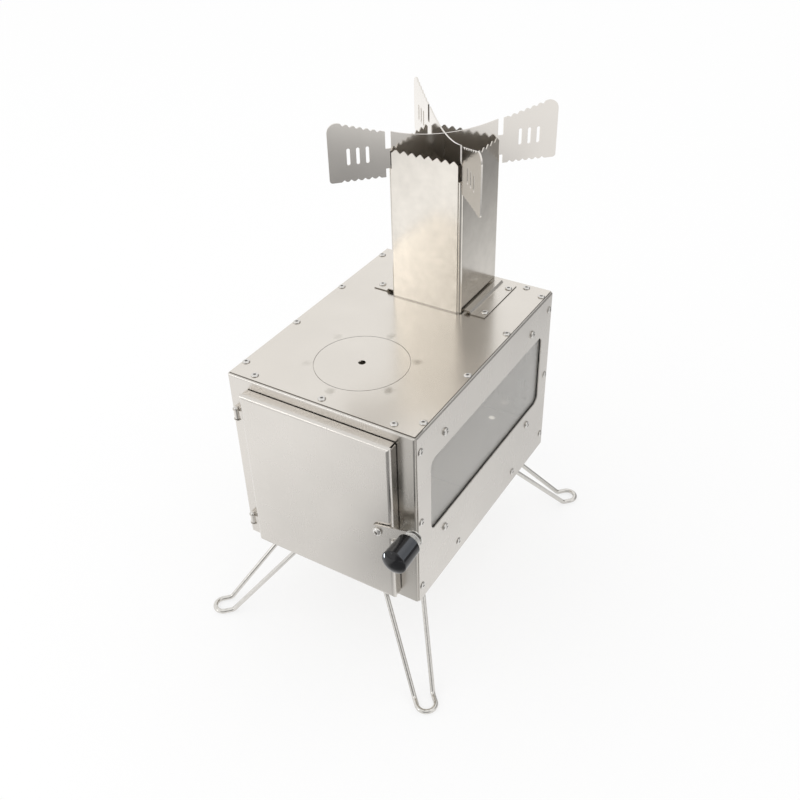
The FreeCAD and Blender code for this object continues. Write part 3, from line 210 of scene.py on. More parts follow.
def colour_property(name, description, default):
    """A colour that the panel shows."""
    return bpy.props.FloatVectorProperty(name=name, description=description, default=default,
                                         subtype="COLOR", min=0.0, max=1.0)


def length_property(name, description, default):
    """A length that the panel shows."""
    return bpy.props.FloatProperty(name=name, description=description, default=default, unit="LENGTH")


def share_property(name, description, default):
    """A number from 0 to 1 that the panel shows."""
    return bpy.props.FloatProperty(name=name, description=description, default=default, min=0.0, max=1.0,
                                   subtype="FACTOR")


def roughness_property(piece, default):
    """The roughness of a piece that the panel shows."""
    return share_property(f"{piece.capitalize()} roughness", f"How far the {piece} blurs what it mirrors",
                          default)


def angle_property(name, description, degrees):
    """An angle that the panel shows."""
    return bpy.props.FloatProperty(name=name, description=description, default=math.radians(degrees),
                                   subtype="ANGLE")


def power_property(name, description, default):
    """A lamp's power that the panel shows."""
    return bpy.props.FloatProperty(name=name, description=description, default=default, unit="POWER")


class StoveFinish(bpy.types.PropertyGroup):
    """Colours and roughness of the stove's surfaces."""
    sheet: colour_property("Sheet", "Satin stainless sheet of the firebox", (0.68, 0.65, 0.61))
    top: colour_property("Top", "Stainless sheet of the top plate and the lid", (0.75, 0.71, 0.655))
    # Lighter than the firebox's sheet: partly the blasted finish, partly painted light for the closed
    # firebox seen through the window
    hearth: colour_property("Hearth", "Blasted sheet inside the firebox", (0.81, 0.775, 0.70))
    chimney: colour_property("Chimney", "Stainless sheet of the chimney", (0.77, 0.73, 0.67))
    pot_sheet: colour_property("Pot supports", "Stainless sheet of the pot supports", (0.78, 0.745, 0.70))
    fastener: colour_property("Fasteners", "Bright steel of rivets and screws", (0.74, 0.72, 0.69))
    wire: colour_property("Wire", "Drawn wire of the legs", (0.72, 0.70, 0.665))
    spring: colour_property("Spring", "Bright steel of the knob's spring and the latch keeper",
                            (0.92, 0.91, 0.88))
    knob: colour_property("Knob", "Moulded knob", (0.006, 0.006, 0.007))
    gasket: colour_property("Gasket", "Rope gasket round the window", (0.015, 0.014, 0.013))
    glass: colour_property("Glass", "Heat-proof window glass", (0.97, 0.95, 0.915))
    weld: colour_property("Weld marks", "Heat tint where the lid's ring is welded on", (0.46, 0.43, 0.38))
    # Darkens the cut edges of the top plate and the rails, and paints the shade along the chimney's foot
    edge_tint_and_base_shade: colour_property("Edge tint and painted shade", "Dark cut edges and the line of soot under the chimney",
                          (0.09, 0.08, 0.065))
    # Painted shade on the frame beside the door's latch side
    latch_shade: colour_property("Latch shade", "Painted shade on the frame at the latch side of the door", (0.36, 0.34, 0.30))
    sheet_roughness: roughness_property("sheet", 0.27)
    top_roughness: roughness_property("top plate", 0.2295)
    hearth_roughness: roughness_property("hearth", 0.5)
    chimney_roughness: roughness_property("chimney", 0.16)
    pot_roughness: roughness_property("pot support", 0.162)
    keeper_roughness: roughness_property("latch keeper", 0.4)
    rivet_roughness: roughness_property("rivet", 0.17)
    stub_roughness: roughness_property("rivet's mandrel", 0.5)
    screw_roughness: roughness_property("screw", 0.22)
    wire_roughness: roughness_property("wire", 0.11)
    spring_roughness: roughness_property("spring", 0.32)
    glass_roughness: roughness_property("glass", 0.01)
    knob_roughness: roughness_property("knob", 0.06)


class StoveFasteners(bpy.types.PropertyGroup):
    """Sizes of the rivet, screw and pin heads, as in the solids that they stand for."""
    rivet_radius: length_property("Rivet radius", "Rim of a rivet's head", 3.75 * MM)
    rivet_height: length_property("Rivet height", "Top of a rivet's head above its sheet", 1.5 * MM)
    rivet_bore: length_property("Rivet bore", "Radius of the hollow left by the rivet's mandrel", 1.3 * MM)
    screw_radius: length_property("Screw radius", "Rim of a window screw's head", 4.0 * MM)
    screw_height: length_property("Screw height", "Top of a window screw's head above the panel", 2.4 * MM)
    screw_shank: length_property("Screw shank", "Radius of a window screw's shank", 2.0 * MM)
    latch_radius: length_property("Latch screw radius", "Rim of the latch screw's head", 4.6 * MM)
    latch_height: length_property("Latch screw height", "Top of the latch screw's head", 3.0 * MM)
    latch_shank: length_property("Latch screw shank", "Radius of the latch screw's shank", 2.5 * MM)
    pin_radius: length_property("Hinge pin radius", "Radius of a hinge pin", 1.5 * MM)
    cross_width: length_property("Cross width", "Width of a screw's cross recess", 1.1 * MM)
    segments: bpy.props.IntProperty(name="Segments", description="Steps round a turned head", default=28,
                                    min=8, max=64)


class StoveStage(bpy.types.PropertyGroup):
    """Camera, floor and light."""
    camera_x: length_property("Camera X", "To the right of the stove's middle", 0.4168)
    camera_y: length_property("Camera Y", "From the firebox's front plane", -0.5262)
    camera_z: length_property("Camera Z", "Above the firebox's lower edge", 0.6892)
    azimuth: angle_property("Azimuth", "Turn of the view to the right", 32.16)
    elevation: angle_property("Elevation", "Tilt of the view from level", 36.33)
    roll: angle_property("Roll", "Lean of the view", -1.78)
    lens: bpy.props.FloatProperty(name="Lens", description="Focal length in millimetres", default=43.09,
                                  unit="CAMERA")
    floor: colour_property("Floor", "White table under the stove", (0.96, 0.96, 0.96))
    floor_size: length_property("Floor size", "Side of the floor", 12.0)
    shadow_lift: share_property("Shadow lift", "How far the floor's white is lifted above its shade", 0.7)
    room: share_property("Room", "How bright the room beyond the white table mirrors in metal", 0.12)
    ambient: bpy.props.FloatProperty(name="Ambient", description="Light from all round", default=1.0)
    key_power: power_property("Key", "Power of the large lamp", 6.0)
    glint_power: power_property("Glint", "Power of the narrow lamp at the left", 0.35)
    knob_power: power_property("Knob lamp", "Power of the window that the knob mirrors", 9.5)
    knob_light: colour_property("Knob light", "Daylight that the knob mirrors", (0.84, 0.91, 1.0))


def add_node(tree, kind, inputs=None, **settings):
    """One node with its settings; inputs are values, or sockets of other nodes to link from."""
    node = tree.nodes.new(kind)
    for name, setting in settings.items():
        setattr(node, name, setting)
    for name, source in (inputs or {}).items():
        if isinstance(source, bpy.types.NodeSocket):
            tree.links.new(source, node.inputs[name])
        else:
            node.inputs[name].default_value = source
    return node


def calculate(tree, operation, first, second=None):
    """The result socket of a Math node."""
    inputs = {0: first} if second is None else {0: first, 1: second}
    return add_node(tree, "ShaderNodeMath", inputs, operation=operation).outputs[0]


def combine(tree, operation, first, second):
    """The Vector Math node of two vectors."""
    return add_node(tree, "ShaderNodeVectorMath", {0: first, 1: second}, operation=operation)


def scaled(tree, colour, factor):
    """A colour times a factor."""
    return add_node(tree, "ShaderNodeVectorMath", {0: colour, "Scale": factor}, operation="SCALE").outputs[0]


def blend(tree, share, first, second):
    """The colour between two colours, by a share of the second."""
    return add_node(tree, "ShaderNodeMix", {0: share, 6: first, 7: second}, data_type="RGBA").outputs[2]


def mix_surface(tree, share, first, second):
    """The surface between two shaders' surfaces, by a share of the second."""
    return add_node(tree, "ShaderNodeMixShader", {0: share, 1: first, 2: second}).outputs[0]


def axes(tree, vector):
    """The sockets X, Y and Z of a vector."""
    return add_node(tree, "ShaderNodeSeparateXYZ", {0: vector}).outputs


def ramp(tree, source, low, high, first=0.0, last=1.0):
    """A smooth step of a value between two limits."""
    inputs = {"Value": source, "From Min": low, "From Max": high, "To Min": first, "To Max": last}
    return add_node(tree, "ShaderNodeMapRange", inputs, interpolation_type="SMOOTHSTEP").outputs[0]


def noise(tree, position, scale, detail, roughness):
    """A noise texture's value."""
    inputs = {"Vector": position, "Scale": scale, "Detail": detail, "Roughness": roughness}
    return add_node(tree, "ShaderNodeTexNoise", inputs).outputs["Fac"]


def swing(tree, value, strength):
    """How far noise swings from its middle, times a strength."""
    return calculate(tree, "MULTIPLY", calculate(tree, "SUBTRACT", value, NOISE_MIDDLE), strength)


def hypotenuse(tree, first, second):
    """The length of a flat diagonal."""
    squares = [calculate(tree, "MULTIPLY", side, side) for side in (first, second)]
    return calculate(tree, "SQRT", calculate(tree, "ADD", *squares))


def shared_group(name, inputs, outputs, fill):
    """A shader node group with named sockets, built once; fill gives its outputs from its inputs."""
    if name in bpy.data.node_groups:
        return bpy.data.node_groups[name]
    tree = bpy.data.node_groups.new(name, "ShaderNodeTree")
    for socket, kind in inputs.items():
        tree.interface.new_socket(socket, in_out="INPUT", socket_type=kind)
    for socket, kind in outputs.items():
        tree.interface.new_socket(socket, in_out="OUTPUT", socket_type=kind)
    given = add_node(tree, "NodeGroupInput").outputs
    add_node(tree, "NodeGroupOutput", fill(tree, given))
    return tree


def fill_rolled_sheet(tree, given):
    """Rolling grain, faint cloudiness and handling marks on sheet metal."""
    position = given["Position"]
    grain = noise(tree, combine(tree, "MULTIPLY", position, given["Stretch"]).outputs[0], *GRAIN_NOISE)
    cloud = noise(tree, position, given["Cloud Scale"], *CLOUD_DETAIL)
    smudge = ramp(tree, noise(tree, position, *SMUDGE_NOISE), *SMUDGE_STEP)
    wave = noise(tree, position, *WAVE_NOISE)
    grain_shift = swing(tree, grain, given["Grain"])
    cloud_shift = swing(tree, cloud, given["Cloud"])
    shade = calculate(tree, "ADD", calculate(tree, "ADD", grain_shift, cloud_shift), 1.0)
    rough = calculate(tree, "ADD", given["Roughness"], calculate(tree, "MULTIPLY", grain_shift, GRAIN_BLUR))
    return {"Color": scaled(tree, given["Metal"], shade),
            "Roughness": calculate(tree, "ADD", rough, calculate(tree, "MULTIPLY", smudge, SMUDGE_BLUR)),
            "Height": calculate(tree, "ADD", calculate(tree, "MULTIPLY", grain, GRAIN_RELIEF), wave)}


def rolled_sheet_group():
    """The group for rolled sheet."""
    inputs = {"Position": VECTOR, "Stretch": VECTOR, "Metal": COLOUR, "Roughness": VALUE, "Cloud": VALUE,
              "Cloud Scale": VALUE, "Grain": VALUE}
    outputs = {"Color": COLOUR, "Roughness": VALUE, "Height": VALUE}
    return shared_group("rolled_sheet", inputs, outputs, fill_rolled_sheet)


def fill_mottled_finish(tree, given):
    """A fine pattern that shades a plain finish and changes its roughness."""
    height = noise(tree, given["Position"], given["Scale"], given["Detail"], given["Coarseness"])
    shade = ramp(tree, height, given["Shade From"], given["Shade To"], given["Darkest"], given["Lightest"])
    sharp = calculate(tree, "ADD", given["Roughness"], given["Sharpest"])
    dull = calculate(tree, "ADD", given["Roughness"], given["Dullest"])
    return {"Color": scaled(tree, given["Finish"], shade),
            "Roughness": ramp(tree, height, given["Blur From"], given["Blur To"], sharp, dull),
            "Height": height}


def mottled_finish_group():
    """The group for plain finishes."""
    inputs = {"Position": VECTOR, "Finish": COLOUR, "Roughness": VALUE}
    inputs.update((socket, VALUE) for socket in PATTERNS["wear"])
    outputs = {"Color": COLOUR, "Roughness": VALUE, "Height": VALUE}
    return shared_group("mottled_finish", inputs, outputs, fill_mottled_finish)


def fill_cut_edges(tree, given):
    """Dark cut edges on flat sheet: the faces that stand upright."""
    flat = calculate(tree, "ABSOLUTE", axes(tree, given["Normal"])["Z"])
    return {"Color": blend(tree, ramp(tree, flat, *EDGE_TINT), given["Metal"], given["Tint"])}


def cut_edges_group():
    """The group for cut edges."""
    inputs = {"Normal": VECTOR, "Metal": COLOUR, "Tint": COLOUR}
    return shared_group("cut_edges", inputs, {"Color": COLOUR}, fill_cut_edges)


def new_material(name):
    """A material with its tree, its Principled shader and the object's own coordinates."""
    material = bpy.data.materials.new(name)
    material.use_nodes = True
    tree = material.node_tree
    tree.nodes.clear()
    shader = add_node(tree, "ShaderNodeBsdfPrincipled")
    add_node(tree, "ShaderNodeOutputMaterial", {"Surface": shader.outputs[0]})
    position = add_node(tree, "ShaderNodeTexCoord").outputs["Object"]
    return material, tree, shader, position


def node_of(material, kind):
    """A material's node of a kind that it has once."""
    return next(node for node in material.node_tree.nodes if node.type == kind)


def set_surface(material, surface):
    """Show another surface than the plain shader's."""
    material.node_tree.links.new(surface, node_of(material, "OUTPUT_MATERIAL").inputs["Surface"])


def link_finish(tree, shader, finish):
    """Take a shader's colour and roughness from a group."""
    tree.links.new(finish.outputs["Color"], shader.inputs["Base Color"])
    tree.links.new(finish.outputs["Roughness"], shader.inputs["Roughness"])


def bump(tree, shader, height, strength, distance):
    """Relief on a shader from a height."""
    inputs = {"Height": height, "Strength": strength, "Distance": distance}
    tree.links.new(add_node(tree, "ShaderNodeBump", inputs).outputs[0], shader.inputs["Normal"])


def sheet_metal(name, colour, roughness, stretch, cloud=0.12, cloud_scale=16.0, grain=0.025, relief=0.1):
    """Stainless sheet with its rolling grain stretched along one way."""
    material, tree, shader, position = new_material(name)
    inputs = {"Position": position, "Stretch": stretch, "Metal": (*colour, 1), "Roughness": roughness,
              "Cloud": cloud, "Cloud Scale": cloud_scale, "Grain": grain}
    finish = add_node(tree, "ShaderNodeGroup", inputs, node_tree=rolled_sheet_group())
    link_finish(tree, shader, finish)
    shader.inputs["Metallic"].default_value = 1.0
    bump(tree, shader, finish.outputs["Height"], relief, SHEET_RELIEF_DEPTH)
    return material


def mottled(name, colour, roughness, pattern):
    """A material with a fine pattern, its tree, its shader and the pattern's height."""
    material, tree, shader, position = new_material(name)
    inputs = {"Position": position, "Finish": (*colour, 1), "Roughness": roughness, **PATTERNS[pattern]}
    finish = add_node(tree, "ShaderNodeGroup", inputs, node_tree=mottled_finish_group())
    link_finish(tree, shader, finish)
    return material, tree, shader, finish.outputs["Height"]


def plain_steel(name, colour, roughness, pattern):
    """Bright steel, worn on turned pieces and streaked on drawn wire."""
    material, tree, shader, height = mottled(name, colour, roughness, pattern)
    shader.inputs["Metallic"].default_value = 1.0
    bump(tree, shader, height, *RELIEFS[pattern])
    return material


def shade_over(material, mask, tint):
    """Lay a tint over a material's colour where a mask says."""
    tree = material.node_tree
    colour = node_of(material, "BSDF_PRINCIPLED").inputs["Base Color"]
    tree.links.new(blend(tree, mask, colour.links[0].from_socket, (*tint, 1)), colour)


def add_cut_edges(material, tint):
    """Darken the cut edges of a sheet."""
    tree = material.node_tree
    colour = node_of(material, "BSDF_PRINCIPLED").inputs["Base Color"]
    inputs = {"Normal": node_of(material, "TEX_COORD").outputs["Normal"],
              "Metal": colour.links[0].from_socket, "Tint": (*tint, 1)}
    edges = add_node(tree, "ShaderNodeGroup", inputs, node_tree=cut_edges_group())
    tree.links.new(edges.outputs["Color"], colour)


def add_painted_base_shade(material, foot, tint):
    """Painted shade: a dark line where a wall stands on the sheet below it, mostly along the rails."""
    tree = material.node_tree
    spot = node_of(material, "TEX_COORD").outputs
    above = calculate(tree, "SUBTRACT", axes(tree, spot["Object"])["Z"], foot)
    sideways = calculate(tree, "ABSOLUTE", axes(tree, spot["Normal"])["X"])
    line = calculate(tree, "MULTIPLY", ramp(tree, above, *BASE_SHADE_LINE), ramp(tree, sideways, *BASE_SHADE_SIDES))
    shade_over(material, line, tint)


def add_dull_inside(material, middle):
    """A duller finish on the faces that look in at an upright line."""
    tree = material.node_tree
    spot = node_of(material, "TEX_COORD").outputs
    out = combine(tree, "SUBTRACT", spot["Object"], middle).outputs[0]
    facing_out = combine(tree, "DOT_PRODUCT", out, spot["Normal"]).outputs["Value"]
    roughness = node_of(material, "BSDF_PRINCIPLED").inputs["Roughness"]
    duller = calculate(tree, "ADD", roughness.links[0].from_socket, ramp(tree, facing_out, *DULL_INSIDE))
    tree.links.new(duller, roughness)


def add_painted_latch_shade(material, tint):
    """Painted shade on the frame beside the door's latch side, strongest near the latch."""
    tree = material.node_tree
    place = axes(tree, node_of(material, "TEX_COORD").outputs["Object"])
    beside = calculate(tree, "SUBTRACT", place["X"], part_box("door_pan")[1].x)
    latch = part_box("latch_lever")[0].z + LATCH_SHADE_RISE
    height = calculate(tree, "ABSOLUTE", calculate(tree, "SUBTRACT", place["Z"], latch))
    latch_shade_mask = calculate(tree, "MULTIPLY", ramp(tree, beside, *LATCH_SHADE_EDGE), ramp(tree, height, *LATCH_SHADE_HEIGHT))
    shade_over(material, latch_shade_mask, tint)


def add_weld_marks(material, tint):
    """Heat-tinted spots round the lid, where its ring is welded to the sheet."""
    tree = material.node_tree
    position = node_of(material, "TEX_COORD").outputs["Object"]
    reach = axes(tree, combine(tree, "SUBTRACT", position, (LID_LOW + LID_HIGH) / 2).outputs[0])
    across, along = reach["X"], reach["Y"]
    # The turn from the nearest weld, where half_step is half the turn between two of them
    half_step = math.pi / WELDS
    turn = calculate(tree, "ADD", calculate(tree, "ARCTAN2", along, across), half_step)
    around = calculate(tree, "PINGPONG", turn, half_step)
    ring = (LID_HIGH.x - LID_LOW.x) / 2 + WELD_RING
    sideways = calculate(tree, "MULTIPLY", around, ring)
    outward = calculate(tree, "SUBTRACT", hypotenuse(tree, across, along), ring)
    ragged = calculate(tree, "MULTIPLY", noise(tree, position, *WELD_NOISE), WELD_RAGGED)
    distance = calculate(tree, "ADD", hypotenuse(tree, sideways, outward), ragged)
    mark = calculate(tree, "MULTIPLY", ramp(tree, distance, *WELD_SPOT), ramp(tree, across, *WELD_SIDES))
    shade_over(material, mark, tint)


def window_pane(finish):
    """Hazed window glass that lets light straight through to the firebox."""
    glass, tree, shader, _ = mottled("window_glass", finish.glass, finish.glass_roughness, "film")
    shader.inputs["Transmission Weight"].default_value = GLASS_CLARITY
    shader.inputs["IOR"].default_value = GLASS_IOR
    clear = add_node(tree, "ShaderNodeBsdfTransparent", {"Color": (*finish.glass, 1)})
    path = add_node(tree, "ShaderNodeLightPath").outputs
    light = calculate(tree, "MAXIMUM", path["Is Shadow Ray"], path["Is Diffuse Ray"])
    set_surface(glass, mix_surface(tree, light, shader.outputs[0], clear.outputs[0]))
    return glass


def gasket_rope(finish):
    """Black woven rope."""
    rope, tree, shader, position = new_material("gasket_rope")
    weave = add_node(tree, "ShaderNodeTexWave", {"Vector": position, **WEAVE},
                     bands_direction="DIAGONAL").outputs["Fac"]
    dark = scaled(tree, finish.gasket, ramp(tree, weave, *WEAVE_SHADE))
    tree.links.new(dark, shader.inputs["Base Color"])
    tree.links.new(ramp(tree, weave, *WEAVE_BLUR), shader.inputs["Roughness"])
    bump(tree, shader, weave, *RELIEFS["weave"])
    return rope


def give(material, *names):
    """Put one material on CAD nodes."""
    for name in names:
        mesh = NODES[name].data
        mesh.materials.clear()
        mesh.materials.append(material)


def mesh_from(work, name):
    """A mesh from a bmesh, which is then freed."""
    mesh = bpy.data.meshes.new(name)
    work.to_mesh(mesh)
    work.free()
    return mesh


def way(letter):
    """The direction that a signed axis letter names."""
    sign = -1 if letter.startswith("-") else 1
    return Vector([sign * (name == letter[-1]) for name in "XYZ"])


def head_places(node, letter):
    """The middles of a node's round heads, found where its mesh reaches furthest out."""
    out = way(letter)
    spots = [corner.co for corner in NODES[node].data.vertices]
    crown = max(spot.dot(out) for spot in spots)
    clusters = []
    for spot in spots:
        if spot.dot(out) <= crown - CROWN_DEPTH:
            continue
        near = next((group for group in clusters if (group[0] - spot).length < HEAD_SPACING), None)
        if near is None:
            clusters.append([spot])
        else:
            near.append(spot)
    middles = []
    for group in clusters:
        low = Vector([min(spot[n] for spot in group) for n in range(3)])
        high = Vector([max(spot[n] for spot in group) for n in range(3)])
        middles.append((low + high) / 2)
    return middles


def seats(node, letter, height, turn=0.0):
    """Matrices that stand a head drawn up along +Z on each of a node's seats."""
    stand = Vector((0, 0, 1)).rotation_difference(way(letter)).to_matrix().to_4x4()
    drop = Matrix.Translation((0, 0, -height)) @ Matrix.Rotation(turn, 4, "Z")
    return [Matrix.Translation(spot) @ stand @ drop for spot in head_places(node, letter)]


def outline(shares, radius, height, base=0.0):
    """Points of an outline at its real size, standing on a base."""
    return [(part * radius, base + rise * height) for part, rise in shares]


def shank_outline(radius, low, high, tip):
    """Points of a round shank, up from its chamfered end."""
    share, chamfer = tip
    return [(0, low), (share * radius, low), (radius, low + chamfer), (radius, high)]


def turned(profile, segments):
    """A bmesh of a profile of radius and height, turned about Z."""
    work = bmesh.new()
    corners = [work.verts.new((radius, 0, height)) for radius, height in profile]
    edges = [work.edges.new(pair) for pair in zip(corners, corners[1:])]
    bmesh.ops.spin(work, geom=corners + edges, cent=(0, 0, 0), axis=(0, 0, 1), angle=2 * math.pi,
                   steps=segments, use_merge=True)
    bmesh.ops.remove_doubles(work, verts=work.verts[:], dist=MERGE_DISTANCE)
    bmesh.ops.recalc_face_normals(work, faces=work.faces[:])
    for face in work.faces:
        face.smooth = True
    return work


def rivet_shape(sizes):
    """A blind rivet's head: a low dome with a hollow where its mandrel broke off."""
    rim, top, bore = sizes.rivet_radius, sizes.rivet_height, sizes.rivet_bore
    work = turned([(0, 0), *outline(RIVET_DOME, rim, top), *outline(RIVET_HOLLOW, bore, top)],
                  sizes.segments)
    # The hollow's faces take the second material: the broken mandrel's duller steel, with painted shade in
    # the hollow
    for face in work.faces:
        middle = face.calc_center_median()
        inside = math.hypot(middle.x, middle.y) < bore and middle.z > RIVET_SEAT * top
        face.material_index = 1 if inside else 0
    return mesh_from(work, "rivet_shape")


def cross_recess(rim, top, width):
    """The space of a cross recess in a screw's head, which narrows as it goes down."""
    work = bmesh.new()
    for turn in (0, math.pi / 2):
        arm = bmesh.ops.create_cube(work, size=1.0)["verts"]
        bmesh.ops.scale(work, vec=(CROSS_LENGTH * rim, width, top), verts=arm)
        for corner in arm:
            if corner.co.z < 0:
                corner.co.x *= CROSS_TAPER
        bmesh.ops.translate(work, vec=(0, 0, CROSS_LIFT * top), verts=arm)
        bmesh.ops.rotate(work, matrix=Matrix.Rotation(turn, 3, "Z"), verts=arm)
    return mesh_from(work, "screw_recess")


def screw_shape(sizes, rim, top, shank, length):
    """A pan-head screw with a cross recess in its head and a shank below it."""
    profile = shank_outline(shank, -length, 0, SCREW_TIP) + outline(SCREW_DOME, rim, top)
    head = mesh_from(turned(profile, sizes.segments), "screw_head")
    return carved(head, cross_recess(rim, top, sizes.cross_width))


def pin_shape(sizes, length, rim, top):
    """A hinge pin with a round head, standing on its lower end."""
    profile = shank_outline(sizes.pin_radius, 0, length, PIN_TIP) + outline(PIN_DOME, rim, top, length)
    return mesh_from(turned(profile, sizes.segments), "pin_shape")


def carved(shape, cutter):
    """A mesh without the space that another one fills."""
    scene = bpy.context.scene
    block = bpy.data.objects.new("carved_block", shape)
    tool = bpy.data.objects.new("carved_tool", cutter)
    for item in (block, tool):
        scene.collection.objects.link(item)
    step = block.modifiers.new("recess", "BOOLEAN")
    step.operation = "DIFFERENCE"
    step.solver = "EXACT"
    step.use_self = True
    step.object = tool
    graph = bpy.context.evaluated_depsgraph_get()
    result = bpy.data.meshes.new_from_object(block.evaluated_get(graph))
    for item in (block, tool):
        bpy.data.objects.remove(item)
    if len(result.vertices) in (0, len(shape.vertices)):
        raise RuntimeError("The recess wasn't cut into the screw's head")
    return result


def add_heads(name, shape, places, materials, body, node):
    """Copies of a shape as one piece, which rides on a body in place of a CAD node."""
    work = bmesh.new()
    for place in places:
        before = set(work.verts)
        work.from_mesh(shape)
        fresh = [corner for corner in work.verts if corner not in before]
        bmesh.ops.transform(work, matrix=place, verts=fresh)
    mesh = mesh_from(work, name)
    for material in materials:
        mesh.materials.append(material)
    made = bpy.data.objects.new(name, mesh)
    bpy.context.scene.collection.objects.link(made)
    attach(made, body)
    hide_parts(node)


def shows_stage(tree):
    """1 on rays that show the stage: to the camera, in metal and through glass."""
    path = add_node(tree, "ShaderNodeLightPath").outputs
    mirrored = calculate(tree, "MAXIMUM", path["Is Glossy Ray"], path["Is Transmission Ray"])
    return calculate(tree, "MAXIMUM", path["Is Camera Ray"], mirrored)


def in_metal(tree):
    """1 on rays that metal mirrors."""
    return add_node(tree, "ShaderNodeLightPath").outputs["Is Glossy Ray"]


def within(tree, place, strength, limits):
    """A strength that fades to 0 outside soft limits along the axes."""
    for axis, outside, inside in limits:
        strength = calculate(tree, "MULTIPLY", strength, ramp(tree, place[axis], outside, inside))
    return strength


def grey_share(tree, place, zones):
    """How grey a place is in metal, by the strongest of its zones."""
    share = 0.0
    for strength, limits in zones:
        share = calculate(tree, "MAXIMUM", share, within(tree, place, strength, limits))
    return calculate(tree, "MULTIPLY", in_metal(tree), share)


def table_white(stage):
    """The floor's white, lifted where it is seen, and brighter at the left and grey in zones in metal."""
    material, tree, shader, position = new_material("studio_white")
    shader.inputs["Base Color"].default_value = (*stage.floor, 1)
    shader.inputs["Roughness"].default_value = FLOOR_ROUGHNESS
    shader.inputs["Specular IOR Level"].default_value = 0.0
    place = axes(tree, position)
    glow = ramp(tree, in_metal(tree), 0.0, 1.0, 1.0, ramp(tree, place["X"], *FLOOR_GLOW))
    white = add_node(tree, "ShaderNodeEmission", {"Strength": glow})
    lift = calculate(tree, "MULTIPLY", shows_stage(tree), stage.shadow_lift)
    table = mix_surface(tree, lift, shader.outputs[0], white.outputs[0])
    room = add_node(tree, "ShaderNodeEmission", {"Color": (stage.room, stage.room, stage.room, 1)})
    set_surface(material, mix_surface(tree, grey_share(tree, place, FLOOR_ZONES), table, room.outputs[0]))
    return material


def lay_floor(scene, stage):
    """A wide white floor that keeps the stove's shadow."""
    work = bmesh.new()
    bmesh.ops.create_grid(work, x_segments=1, y_segments=1, size=stage.floor_size / 2)
    mesh = mesh_from(work, "studio_floor")
    mesh.materials.append(table_white(stage))
    floor = bpy.data.objects.new("studio_floor", mesh)
    scene.collection.objects.link(floor)


def light_room(scene, stage):
    """Even white light from all round, which metal mirrors with darker parts and a window."""
    world = bpy.data.worlds.new("studio_world")
    world.use_nodes = True
    tree = world.node_tree
    tree.nodes.clear()
    strength = ramp(tree, shows_stage(tree), 0.0, 1.0, stage.ambient, 1.0)
    # In metal, the room before and behind the table is darker than the white round the stove
    place = axes(tree, add_node(tree, "ShaderNodeTexCoord").outputs["Generated"])
    dark = calculate(tree, "MULTIPLY", grey_share(tree, place, ROOM_ZONES), 1.0 - stage.room)
    strength = calculate(tree, "SUBTRACT", strength, dark)
    # A tall window at the front left, which the top plate throws on to the chimney
    window = within(tree, place, ramp(tree, place["X"], *WINDOW_GLOW), WINDOW_LIMITS)
    strength = calculate(tree, "ADD", strength, calculate(tree, "MULTIPLY", window, in_metal(tree)))
    back = add_node(tree, "ShaderNodeBackground", {"Color": (1, 1, 1, 1), "Strength": strength})
    add_node(tree, "ShaderNodeOutputWorld", {"Surface": back.outputs[0]})
    scene.world = world


def hang_lamp(scene, name, power, size, place, target):
    """A flat lamp aimed at a point, that the camera doesn't see."""
    data = bpy.data.lights.new(name, "AREA")
    data.energy = power
    data.shape = "RECTANGLE"
    data.size, data.size_y = size
    lamp = bpy.data.objects.new(name, data)
    scene.collection.objects.link(lamp)
    lamp.location = place
    lamp.rotation_euler = (target - lamp.location).to_track_quat("-Z", "Y").to_euler()
    lamp.visible_camera = False
    return lamp


def hang_lamps(scene, stage):
    """One large lamp from the upper left, and two that light only the knob."""
    key = hang_lamp(scene, "key_lamp", stage.key_power, *KEY_LAMP, KEY_TARGET)
    # Metal mirrors the window and the floor, and not this lamp, which would burn out its flat faces
    key.visible_glossy = False
    knob_alone = bpy.data.collections.new("knob_alone")
    knob_alone.objects.link(NODES["knob"])
    low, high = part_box("knob")
    for name, power, (size, place) in (("glint_lamp", stage.glint_power, GLINT_LAMP),
                                       ("knob_lamp", stage.knob_power, KNOB_LAMP)):
        lamp = hang_lamp(scene, name, power, size, place, (low + high) / 2)
        lamp.data.color = stage.knob_light
        lamp.light_linking.receiver_collection = knob_alone


def aim_camera(scene, stage):
    """The photograph's viewpoint."""
    turn, tilt, roll = stage.azimuth, stage.elevation, stage.roll
    back = Vector((math.sin(turn) * math.cos(tilt), -math.cos(turn) * math.cos(tilt), math.sin(tilt)))
    level = Vector((math.cos(turn), math.sin(turn), 0))
    upright = back.cross(level)
    right = level * math.cos(roll) + upright * math.sin(roll)
    up = upright * math.cos(roll) - level * math.sin(roll)
    place = Vector((stage.camera_x, FIREBOX_LOW.y + stage.camera_y, FIREBOX_LOW.z + stage.camera_z))
    data = bpy.data.cameras.new("photo_camera")
    data.sensor_width = SENSOR_WIDTH
    data.lens = stage.lens
    camera = bpy.data.objects.new("photo_camera", data)
    scene.collection.objects.link(camera)
    camera.matrix_world = Matrix.Translation(place) @ Matrix((right, up, back)).transposed().to_4x4()
    scene.camera = camera


